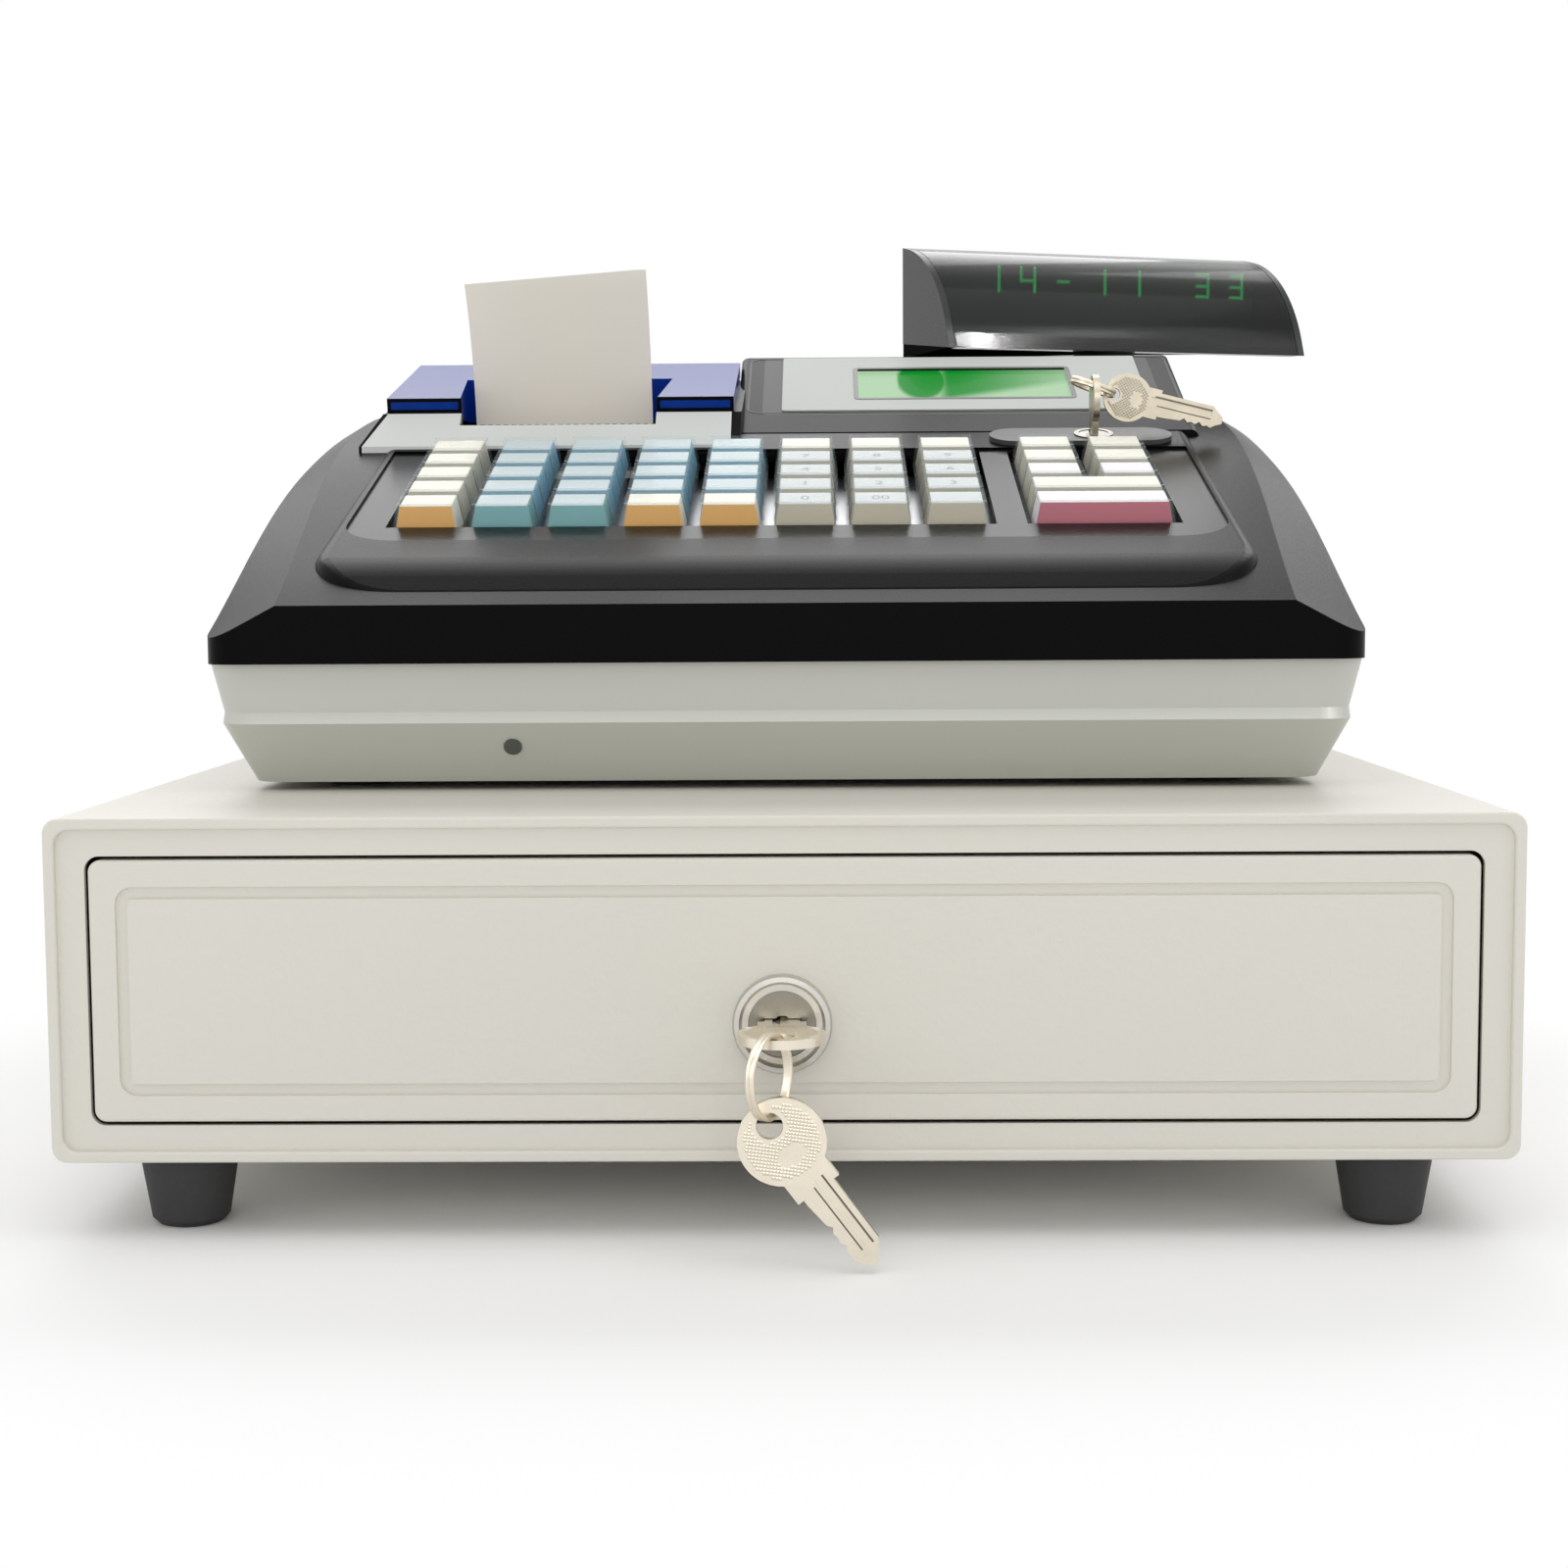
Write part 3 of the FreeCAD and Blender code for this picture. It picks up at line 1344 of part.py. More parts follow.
def receipt_paper():
    """The strip from the roll up past the tear bar, curling forward."""
    body = new_body("receipt_strip")
    thick = s.paper_thick
    start = s.roll_back - s.roll_radius - s.seat_gap
    side = [(start, roll_high()), (s.paper_back, s.paper_low), (s.paper_bend_back, s.paper_bend_high, s.paper_bend),
            (s.paper_top_back, s.paper_top), (s.paper_top_back - thick, s.paper_top - thick / 2),
            (s.paper_bend_back - thick, s.paper_bend_high - thick / 3, s.paper_bend - thick),
            (s.paper_back - thick, s.paper_low), (start - thick, roll_high())]
    left = s.paper_right - s.paper_width / 2
    pad(body, drawing(body, "YZ_Plane", [side], shift=left), s.paper_width)
    return in_register("receipt_paper", body)


def tear_bar():
    """The clear strip that the receipt is torn on, with a row of teeth along its top."""
    body = new_body("tear_strip")
    low = s.tear_high - s.tear_thick * 2.5
    left = s.notch_left + s.seat_gap
    width = s.notch_right - s.notch_left - s.seat_gap * 2
    start = s.paper_back - s.tear_thick * 2 - s.paper_thick
    pad(body, drawing(body, "YZ_Plane", [rectangle(start - s.tear_thick, low, start, s.tear_high)], shift=left), width)
    pitch = width / 24
    tooth = [(left, s.tear_high + s.tear_thick / 2), (left + pitch / 2, s.tear_high - s.tear_thick / 2),
             (left + pitch, s.tear_high + s.tear_thick / 2)]
    cut = pocket(body, drawing(body, "XZ_Plane", [tooth], shift=start - s.tear_thick * 2), s.tear_thick * 4)
    row_of(body, cut, "X_Axis", pitch, 24)
    return in_register("tear_bar", body)


def notch_plan(spread):
    """The lid's notch seen from above, flaring from the front to the rear."""
    rear = s.notch_length + spread
    return [(s.notch_left - spread, -s.overrun), (s.notch_right + spread, -s.overrun),
            (s.notch_right + s.notch_flare + spread, rear), (s.notch_left - s.notch_flare - spread, rear)]


def printer_lid():
    """The blue lid: a hollow plate in two wings, with a deep flared trough for the paper."""
    body = new_body("lid_plate")
    edge = s.bay_wall
    plan = rectangle(s.lid_left, ZERO, s.lid_right, s.lid_length)
    pad(body, drawing(body, "XY_Plane", [plan], shift=-s.lid_thick), s.lid_thick)
    under = rectangle(s.lid_left + edge, edge, s.lid_right - edge, s.lid_length - edge)
    pocket(body, drawing(body, "XY_Plane", [under], shift=-s.lid_thick), s.lid_thick - s.lid_skin)
    walls = notch_plan(edge)
    walls[0], walls[1] = (walls[0][0], edge + s.seat_gap), (walls[1][0], edge + s.seat_gap)
    low = -s.trough_rear
    pad(body, drawing(body, "XY_Plane", [walls], shift=low), s.trough_rear - s.lid_skin / 2)
    pocket(body, drawing(body, "XY_Plane", [notch_plan(ZERO)], shift=low - s.overrun), s.overrun * 2 + s.trough_rear)
    slope = [(-s.overrun, low - s.overrun), (-s.overrun, -s.trough_front), (ZERO, -s.trough_front),
             (s.notch_length + edge, low), (s.lid_length, low), (s.lid_length, low - s.overrun)]
    pocket(body, drawing(body, "YZ_Plane", [slope], shift=s.lid_left), s.lid_right - s.lid_left)
    pivot, pin_low = lid_pivot(), -s.lid_pivot_drop
    left, right = s.lid_left + s.seat_gap, s.lid_right - s.seat_gap
    ears = []
    for start in (left + edge, right - edge * 2):
        ears.append(block("lid_ear", start, pivot - s.lid_pin * 2, pin_low - s.lid_pin * 1.5, edge, s.lid_pin * 3.1,
                          s.lid_pivot_drop + s.lid_pin * 1.5 - s.lid_skin))
    for start in (left, right - edge * 2):
        ears.append(rod("lid_pin", "X", start, pivot, pin_low, s.lid_pin, edge * 2))
    return on_slope("printer_lid", fused("lid", body, *ears), s.lid_front, s.lid_high, s.lid_slope)


def display_bezel():
    """The dark glossy plate let into the display housing, with a window."""
    slab = bezel_slab("bezel_slab", -s.window_sink, ZERO)
    item = without("bezel", slab, glass_block("bezel_window", ZERO, -s.overrun, s.overrun))
    return on_slope("display_bezel", item, s.screen_front, s.screen_low, s.screen_slope)


def display_panel():
    """The silver plate on the bezel, round the window."""
    thick = s.window_sink / 3
    slab = screen_slab("panel_slab", s.panel_left, s.panel_right, s.panel_low, s.panel_high, ZERO, thick,
                       s.screen_round / 5)
    item = without("panel", slab, glass_block("panel_window", ZERO, -s.overrun, s.overrun))
    return on_slope("display_panel", item, s.screen_front, s.screen_low, s.screen_slope)


def lcd_module():
    glass = glass_block("lcd_glass", ZERO, -s.screen_round, -s.window_sink / 2)
    return on_slope("lcd_module", together("lcd", glass), s.screen_front, s.screen_low, s.screen_slope)


def mode_plate():
    body = new_body("mode_oval")
    middle = s.mode_right - s.mode_oval_left
    oval = rectangle(middle - s.mode_oval, s.mode_back - s.mode_oval_width, middle + s.mode_oval,
                     s.mode_back + s.mode_oval_width, s.mode_oval_width * 0.99)
    pad(body, drawing(body, "XY_Plane", [oval]), s.mode_oval_thick)
    hole = (s.mode_right, s.mode_back, s.mode_barrel + s.turning_fit)
    pocket(body, drawing(body, "XY_Plane", circles=[hole], shift=-s.overrun), s.overrun * 2)
    return on_deck("mode_plate", body)


def mode_lock():
    top = s.mode_oval_thick + s.mode_barrel_rise
    tube = rod("mode_tube", "Z", s.mode_right, s.mode_back, -s.mode_barrel_length, s.mode_barrel,
               s.mode_barrel_length + top)
    bore = rod("mode_bore", "Z", s.mode_right, s.mode_back, -s.mode_barrel_length - s.overrun,
               s.mode_plug + s.turning_fit, s.mode_barrel_length + top + s.overrun * 2)
    return on_deck("mode_lock", without("mode_case", tube, bore))


def mode_plug():
    top = s.mode_oval_thick + s.mode_barrel_rise / 2
    plug = rod("mode_round", "Z", s.mode_right, s.mode_back, -s.mode_barrel_length, s.mode_plug,
               s.mode_barrel_length + top)
    slot = block("mode_slot", s.mode_right - s.mode_key_slot / 2, s.mode_back - s.mode_blade / 2 - s.seat_gap,
                 -s.mode_barrel_length - s.overrun, s.mode_key_slot, s.mode_blade + s.seat_gap * 2,
                 s.mode_barrel_length * 2)
    return on_deck("mode_plug", without("mode_turning", plug, slot))


def small_key(name, role):
    return flat_key(name, role, s.mode_bow, s.mode_hole, s.mode_hole_out, s.mode_blade, s.mode_shoulder,
                    s.mode_key_length, s.mode_key_thick)


def mode_key():
    body = small_key("mode_key_body", "YZ_Plane")
    right, back, high = mode_axis(s.mode_bow_out)
    tilt(body, s.deck_slope + 180)
    put(body, right - s.middle_right, back - s.middle_back, high + s.foot_height + s.housing_height)
    return keep("mode_key", body)


def mode_hole_spot():
    return mode_axis(s.mode_bow_out + s.mode_hole_out)


def mode_ring():
    """The ring through the mode key's bow, leaning to the right with the spare key."""
    right, back, high = mode_hole_spot()
    item = double_ring("mode_split_ring", s.mode_ring_radius, s.mode_ring_wire)
    tilt(item, s.mode_ring_lean - 90, (0, 1, 0))
    put(item, right - s.middle_right, back + s.mode_ring_radius - s.middle_back,
        high + s.foot_height + s.housing_height)
    return keep("mode_ring", item)


def spare_key():
    body = small_key("spare_key_body", "XZ_Plane")
    right, back, high = mode_hole_spot()
    hole_right = right + cosine(s.mode_ring_lean) * s.mode_ring_radius
    hole_high = high - sine(s.mode_ring_lean) * s.mode_ring_radius
    across = hole_right + cosine(s.spare_lean) * s.mode_hole_out
    down = hole_high - sine(s.spare_lean) * s.mode_hole_out
    tilt(body, s.spare_lean + 90, (0, 1, 0))
    put(body, across - s.middle_right, back + s.mode_ring_radius - s.middle_back,
        down + s.foot_height + s.housing_height)
    return keep("spare_key", body)


def display_pole():
    right, back = pole_spot()
    low = s.pole_base_high - s.pole_collar * 1.4
    seat = s.head_rise * (s.head_depth / 2 - s.pole_radius) / s.head_depth
    pole = rod("pole_tube", "Z", right, back, low, s.pole_radius, s.head_low + seat - low - s.seat_gap)
    return in_register("display_pole", together("pole", pole))


HEAD_BEND_SHARES = (0.746, 0.817)
HEAD_SKIN_SHARES = (1.24, 0.757, 0.859, 1.417)


def head_profile(skin):
    """The head's side view, or the same line moved inwards: upright back, bottom rising rearwards, round front."""
    deep, tall = s.head_depth, s.head_high - s.head_low
    top, brow_in, brow_down, front = HEAD_SKIN_SHARES
    brow = (-deep * HEAD_BEND_SHARES[0] + skin * brow_in, tall * HEAD_BEND_SHARES[1] - skin * brow_down)
    return [(-skin, s.head_rise + skin), (-skin, tall - skin * top), brow + (s.head_bend - skin,),
            (-deep + skin * front, skin)]


def head_place(label, item):
    tilt(item, s.head_turn, (0, 0, 1))
    high = s.head_low + s.foot_height + s.housing_height
    put(item, s.head_left - s.middle_right, s.head_back - s.middle_back, high)
    return keep(label, item)


def display_head():
    """The back, floor and end caps of the customer display."""
    body = new_body("head_back")
    tall = s.head_high - s.head_low
    skin = s.head_skin
    lip, lip_rise = -s.head_depth + skin * 2, s.head_rise * skin * 2 / s.head_depth
    tray = [(ZERO, s.head_rise), (ZERO, tall - skin * 2), (-skin, tall - skin * 2), (-skin, s.head_rise + skin),
            (lip, lip_rise + skin), (lip, lip_rise)]
    pad(body, drawing(body, "YZ_Plane", [tray]), s.head_length)
    for start in (ZERO, s.head_length - skin):
        pad(body, drawing(body, "YZ_Plane", [head_profile(ZERO)], shift=start), skin)
    return head_place("display_head", body)


def display_window():
    """The smoked window that rolls from the head's top edge down to its front edge."""
    body = new_body("head_window")
    skin = s.head_skin
    tall = s.head_high - s.head_low
    inner, outer = head_profile(skin), head_profile(ZERO)
    lip = -s.head_depth + skin * 2
    shape = [(ZERO, tall - skin * 2), outer[1], outer[2], outer[3], (lip, ZERO), (lip, skin), inner[3], inner[2],
             inner[1], (-skin, tall - skin * 2)]
    width = s.head_length - skin * 2 - s.seat_gap * 2
    pad(body, drawing(body, "YZ_Plane", [shape], shift=skin + s.seat_gap), width)
    return head_place("display_window", body)


def digit_board():
    tall = s.head_high - s.head_low
    foot = s.head_rise * 0.64
    board = block("digit_plate", s.head_skin * 3, -s.head_depth * 0.42, s.head_skin + foot + s.seat_gap,
                  s.head_length - s.head_skin * 6, s.housing_wall, tall * 0.7 - foot - s.seat_gap * 2)
    return head_place("digit_board", together("digits", board))


def wedge(body, low, high, foot, top):
    """A block that tapers upwards between two rectangles, each given by half its width and its two ends."""
    item = body.newObject("PartDesign::AdditiveWedge", body.Name + "_wedge")
    item.Placement = FreeCAD.Placement(FreeCAD.Vector(), FreeCAD.Rotation(FreeCAD.Vector(1, 0, 0), 90))
    for field, amount in (("Xmin", -foot[0]), ("Xmax", foot[0]), ("Zmin", -foot[2]), ("Zmax", -foot[1]),
                          ("X2min", -top[0]), ("X2max", top[0]), ("Z2min", -top[2]), ("Z2max", -top[1]),
                          ("Ymin", low), ("Ymax", high)):
        bind(item, field, amount)
    return item


def key_shape(body, width, row):
    """One key: a tapered cap with a bevelled top edge, over a square stem."""
    middle = row_middle(row)
    extra = width - s.keys_foot_width
    low = s.keys_low
    bevel = s.keys_round * 0.6
    levels = []
    for wide, long, back in ((s.keys_foot_width, s.keys_foot_length, ZERO),
                             (s.keys_top_width, s.keys_top_length, s.keys_top_back),
                             (s.keys_top_width - bevel * 2, s.keys_top_length - bevel * 2, s.keys_top_back)):
        levels.append(((wide + extra) / 2, middle + back - long / 2, middle + back + long / 2))
    shoulder = s.keys_high - bevel
    cap = [wedge(body, low, shoulder, levels[0], levels[1]), wedge(body, shoulder, s.keys_high, levels[1], levels[2])]
    stem = s.keys_stem / 2
    sketch = drawing(body, "XY_Plane", [rectangle(-stem, middle - stem, stem, middle + stem)], shift=s.keys_stem_low)
    return cap + [pad(body, sketch, low - s.keys_stem_low)]


def key_column(label, right, first, count):
    body = new_body(label + "_body")
    row_of(body, key_shape(body, s.keys_foot_width, first), "Y_Axis", s.keys_pitch, count)
    return on_deck(label, body, right)


def wide_key(label, row):
    body = new_body(label + "_body")
    key_shape(body, s.keys_foot_width + s.keys_step, row)
    return on_deck(label, body, s.keys_right)


def keyboard_keys():
    left, right = key_spots()
    rows = int(s.keys_rows.value)
    for number, column in enumerate(left, start=1):
        key_column("key_column_%d" % number, column, 0, rows)
    for number, column in enumerate(right, start=len(left) + 1):
        key_column("key_column_%d" % number, column, 2, rows - 2)
    wide_key("wide_key_1", 0)
    wide_key("wide_key_2", 1)


def keyboard_plate():
    """The metal plate under the deck that guides the keys' stems."""
    body = new_body("guide_plate")
    left, right = key_spots()
    pad(body, drawing(body, "XY_Plane", [rectangle(*plate_outline())], shift=s.plate_low), s.plate_thick)
    hole = s.keys_stem / 2 + s.seat_gap
    rows = int(s.keys_rows.value)
    for middle, columns, first, count in ((left[0], len(left), 0, rows), (right[0], 2, 2, rows - 2),
                                          (s.keys_right, 1, 0, 2)):
        centre = row_middle(first)
        shape = rectangle(middle - hole, centre - hole, middle + hole, centre + hole)
        cut = pocket(body, drawing(body, "XY_Plane", [shape], shift=s.plate_low - s.plate_thick), s.plate_thick * 3)
        item = row_of(body, cut, "Y_Axis", s.keys_pitch, count)
        if columns > 1:
            item.Direction2 = (origin_item(body, "X_Axis"), [""])
            item.Occurrences2 = columns
            bind(item, "Length2", s.keys_step * (columns - 1))
    return on_deck("keyboard_plate", body)


def keyboard_board():
    left, right = key_spots()
    start = left[0] - s.keys_foot_width / 2
    end = right[-1] + s.keys_foot_width / 2
    front = row_middle(0) - s.keys_pitch / 2
    top = s.keys_stem_low - s.keys_travel - s.seat_gap
    length = s.keys_pitch * s.keys_rows
    board = block("key_circuit", start, front, top - s.plate_thick, end - start, length, s.plate_thick)
    posts = []
    for across in (start, end - s.plate_margin / 2):
        for along in (front, front + length - s.plate_margin / 2):
            posts.append(block("board_post", across, along, top, s.plate_margin / 2, s.plate_margin / 2, s.plate_low - top))
    return on_deck("keyboard_board", fused("key_board", board, *posts))


def main_board():
    """The main circuit board on the tub's floor, with its transformer beside it."""
    floor = s.base_gap + s.base_wall
    left = -s.base_foot * 0.1
    front = s.base_front_low + s.base_wall * 6
    board = block("board", left, front, floor + s.base_wall * 2, s.base_foot, s.base_foot * 1.4, s.plate_thick)
    chip = block("board_chip", left + s.base_foot * 0.3, front + s.base_foot * 0.4, floor + s.base_wall * 2 + s.plate_thick,
                 s.base_foot * 0.2, s.base_foot * 0.2, s.base_wall)
    posts = []
    for across in (0.08, 0.92):
        for along in (0.08, 1.32):
            posts.append(rod("board_standoff", "Z", left + s.base_foot * across, front + s.base_foot * along, floor,
                             s.base_wall, s.base_wall * 2))
    return in_register("main_board", fused("main", board, chip, *posts))


def power_supply():
    floor = s.base_gap + s.base_wall
    left = s.base_foot * 0.45
    core = block("transformer_core", left, s.base_rear - s.base_foot * 0.55, floor, s.base_foot * 0.36,
                 s.base_foot * 0.3, s.base_foot * 0.28)
    coil = block("transformer_coil", left + s.base_foot * 0.06, s.base_rear - s.base_foot * 0.59, floor + s.base_wall,
                 s.base_foot * 0.24, s.base_foot * 0.38, s.base_foot * 0.2)
    return in_register("power_supply", fused("supply", core, coil))


def rear_sockets():
    """The mains inlet and the drawer's jack in the base's rear wall."""
    wall = s.socket_wall
    sockets = []
    for right, width, height in socket_blocks():
        case = socket_box("socket_case", right, width, height, ZERO, s.base_rear, s.socket_depth)
        mouth = socket_box("socket_mouth", right, width, height, wall, s.base_rear + s.overrun,
                           s.socket_depth + s.overrun - wall)
        sockets.append(without("socket", case, mouth))
    for across in (-0.25, 0.0, 0.25):
        pin_right = s.inlet_right + s.inlet_width * across
        sockets.append(block("inlet_pin", pin_right - wall / 2, s.base_rear - s.socket_depth + wall / 2,
                             s.socket_middle - wall, wall, s.socket_depth * 0.7, wall * 2))
    return in_register("rear_sockets", fused("sockets", *sockets))


def finished():
    """True when every object of the document is sound."""
    DOC.recompute()
    sound = True
    for item in DOC.Objects:
        state = set(item.State) & {"Invalid", "Error"}
        shape = getattr(item, "Shape", None)
        if state or (item in PARTS.values() and (shape.isNull() or not shape.isValid())):
            print("not sound:", item.Name, item.Label, sorted(state))
            sound = False
    return sound


DRAWER_UNIT = (drawer_housing, housing_feet, outer_slides, latch_unit, drawer_front, drawer_box, inner_slides,
               coin_tray, bill_tray, lock_body, lock_plug, drawer_key, key_ring, hanging_key)
REGISTER = (base_case, base_feet, top_cover, keyboard_frame, keyboard_plate, keyboard_board, main_board,
            power_supply, rear_sockets, indicator_lens, printer_plate, tear_bar, printer_frame, platen_roller,
            paper_roll, receipt_paper, printer_lid, display_bezel, display_panel, lcd_module, mode_plate, mode_lock,
            mode_plug, mode_key, mode_ring, spare_key, display_pole, display_head, display_window, digit_board,
            keyboard_keys)

for make in DRAWER_UNIT + REGISTER:
    make()
for clip in range(1, int(s.bill_bays.value) + 1):
    bill_clip(clip)
if not finished():
    raise RuntimeError("a sub-part is not sound")
os.makedirs("parts", exist_ok=True)
for label, item in PARTS.items():
    item.Shape.exportStep(os.path.join("parts", label + ".step"))
print("sub-parts:", len(PARTS))
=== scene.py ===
import math

import bmesh
import bpy
from mathutils import Matrix, Vector


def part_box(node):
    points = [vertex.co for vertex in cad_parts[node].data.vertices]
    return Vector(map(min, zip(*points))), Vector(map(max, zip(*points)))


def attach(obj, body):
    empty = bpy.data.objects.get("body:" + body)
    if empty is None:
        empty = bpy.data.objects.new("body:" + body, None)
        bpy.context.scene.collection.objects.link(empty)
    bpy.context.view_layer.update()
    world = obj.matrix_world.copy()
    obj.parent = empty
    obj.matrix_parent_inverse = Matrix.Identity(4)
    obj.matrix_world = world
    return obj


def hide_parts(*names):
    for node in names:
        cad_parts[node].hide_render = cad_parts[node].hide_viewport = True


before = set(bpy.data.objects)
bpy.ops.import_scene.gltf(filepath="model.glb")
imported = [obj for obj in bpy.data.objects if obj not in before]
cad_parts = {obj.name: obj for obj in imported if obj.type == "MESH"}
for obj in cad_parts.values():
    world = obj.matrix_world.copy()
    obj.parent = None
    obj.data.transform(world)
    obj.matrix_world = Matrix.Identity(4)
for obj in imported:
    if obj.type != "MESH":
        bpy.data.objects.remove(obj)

bl_info = {
    "name": "Ticket register",
    "version": (1, 0, 0),
    "blender": (4, 5, 0),
    "location": "View3D > Sidebar > Register",
    "description": "Keys, digits, receipt, finishes and studio of a register on a cash drawer",
    "category": "Object",
}

MM = 0.001
# how much of a face's normal points up, to a side, or up on a sloping top
UP = 0.9
SIDE = 0.8
STEEP = 0.5
# degrees under which edges are smooth, on the frame's parts and on the pieces made here
PART_SMOOTH = 30.0
PIECE_SMOOTH = 35.0
# gaps that count as none
WELD = 0.02 * MM
TINY = 0.01 * MM
WHITE = (1, 1, 1, 1)
# rows and columns of the main block, and rows of the right block's narrow columns
ROW_COUNT = 5
COLUMN_COUNT = 8
UPPER_ROWS = (2, 3, 4)

# one name of a colour for each key's body, from the front row to the rear one
BODY_COLOURS = {
    1: ("orange",) + ("cream",) * 4,
    2: ("teal",) + ("blue",) * 4,
    3: ("teal",) + ("blue",) * 4,
    4: ("orange",) + ("blue",) * 4,
    5: ("orange",) + ("blue",) * 4,
    6: ("beige",) * 5,
    7: ("beige",) * 5,
    8: ("beige",) * 5,
    9: ("", "") + ("cream",) * 3,
    10: ("", "") + ("cream",) * 3,
}
# the same for the paper under the clear top
LABEL_COLOURS = {
    1: ("cream",) * 5,
    2: ("blue",) * 5,
    3: ("blue",) * 5,
    4: ("cream",) + ("blue",) * 4,
    5: ("cream",) + ("blue",) * 4,
    6: ("white",) * 4 + ("cream",),
    7: ("white",) * 4 + ("cream",),
    8: ("white",) * 4 + ("cream",),
    9: ("", "", "pink", "cream", "cream"),
    10: ("", "", "pink", "cream", "cream"),
}
KEY_NUMBERS = {
    (6, 0): "0", (7, 0): "00", (6, 1): "1", (7, 1): "2", (8, 1): "3", (6, 2): "4",
    (7, 2): "5", (8, 2): "6", (6, 3): "7", (7, 3): "8", (8, 3): "9",
}
# colours that show only from the front, where the sides look as pale as the label
PALE_SIDED = ("orange", "rose")
SHOWN_DIGITS = "14-11 33"
# the bars of a digit: top, upper right, lower right, bottom, lower left, upper left, middle
DIGIT_BARS = {"1": "bc", "3": "abcdg", "4": "bcfg", "-": "g"}
BAR_PLACES = {
    "a": (0, 1, 0), "b": (0.5, 0.5, 90), "c": (0.5, -0.5, 90), "d": (0, -1, 0),
    "e": (-0.5, -0.5, 90), "f": (-0.5, 0.5, 90), "g": (0, 0, 0),
}


def length(name, millimetres, description):
    return bpy.props.FloatProperty(name=name, default=millimetres * MM, unit="LENGTH", precision=4,
                                   description=description)


def angle(name, degrees, description):
    return bpy.props.FloatProperty(name=name, default=math.radians(degrees), subtype="ANGLE",
                                   description=description)


def linear(code):
    """A colour written as six hex digits, in the linear values that a material takes."""
    values = [int(code[start:start + 2], 16) / 255 for start in (0, 2, 4)]
    return [value / 12.92 if value < 0.04045 else ((value + 0.055) / 1.055) ** 2.4 for value in values]


def tint(name, code, description):
    return bpy.props.FloatVectorProperty(name=name, default=linear(code), size=3, subtype="COLOR", min=0, max=1,
                                         description=description)


class RegisterSizes(bpy.types.PropertyGroup):
    """The places and sizes of the pieces that are modelled here."""

    deck_back: length("Deck place", -66.0, "Front edge of the keyboard deck along the depth")
    deck_high: length("Deck height", 165.0, "Height of the keyboard deck's front edge")
    deck_slope: angle("Deck slope", 17.0, "Slope of the keyboard deck")
    first_row: length("First row", 18.72, "Middle of the front row, up the deck")
    row_step: length("Row step", 15.64, "From one row of keys to the next")
    first_column: length("First column", -105.5, "Middle of the leftmost column")
    column_step: length("Column step", 20.87, "From one column of keys to the next")
    right_block: length("Right block", 80.9, "Middle of the right block of keys")
    key_foot_width: length("Foot width", 18.9, "Width of a key at its foot")
    key_foot_length: length("Foot length", 15.1, "Length of a key at its foot")
    key_top_width: length("Top width", 15.9, "Width of a key at its top")
    key_top_length: length("Top length", 12.9, "Length of a key at its top")
    key_top_back: length("Top set back", 0.5, "How far the top lies behind the foot's middle")
    key_low: length("Key foot", -4.2, "Height of a key's foot over the deck")
    key_high: length("Key top", 5.15, "Height of a key's top over the deck")
    cap_edge: length("Cap edge", 0.45, "Rounding of the clear cap")
    cap_wall: length("Cap wall", 0.75, "Wall of the clear cap")
    stem_half: length("Stem", 3.0, "Half the width of a key's stem")
    stem_low: length("Stem foot", -12.0, "Height of the stem's foot over the deck")
    head_right: length("Display place across", 32.9, "Left end of the customer display")
    head_back: length("Display place", 155.0, "Back of the customer display at its left end")
    head_low: length("Display height", 230.4, "Underside of the customer display")
    head_turn: angle("Display turn", 18.9, "How far the customer display is turned")
    head_width: length("Display width", 136.8, "Length of the customer display")
    head_depth: length("Display depth", 44.0, "Depth of the customer display")
    head_rise: length("Display rise", 5.0, "How far the display's underside rises to the back")
    digit_step: length("Digit step", 13.7, "From one digit to the next")
    digit_start: length("First digit", 26.4, "First digit's middle from the display's left end")
    digit_width: length("Digit width", 5.2, "Width of a digit")
    digit_height: length("Digit height", 7.0, "Height of a digit")
    digit_middle: length("Digit middle", 26.0, "Height of the digits' middle in the display")
    digit_back: length("Digit place", -18.6, "Where the digits stand in the display's depth")
    screen_back: length("Window place", 41.5, "Front edge of the window's housing along the depth")
    screen_high: length("Window height", 197.9, "Height of the window's housing at its front edge")
    screen_slope: angle("Window slope", 22.8, "Slope of the window's housing")
    paper_slant: angle("Receipt slant", 3.9, "Slant of the receipt's upper edge")
    lid_back: length("Lid place", 38.4, "Front edge of the printer's lid along the depth")
    lid_high: length("Lid height", 209.0, "Height of the printer's lid")
    lid_slope: angle("Lid slope", 13.4, "Slope of the printer's lid")
    lid_thick: length("Lid thickness", 4.6, "Thickness of the printer's lid")


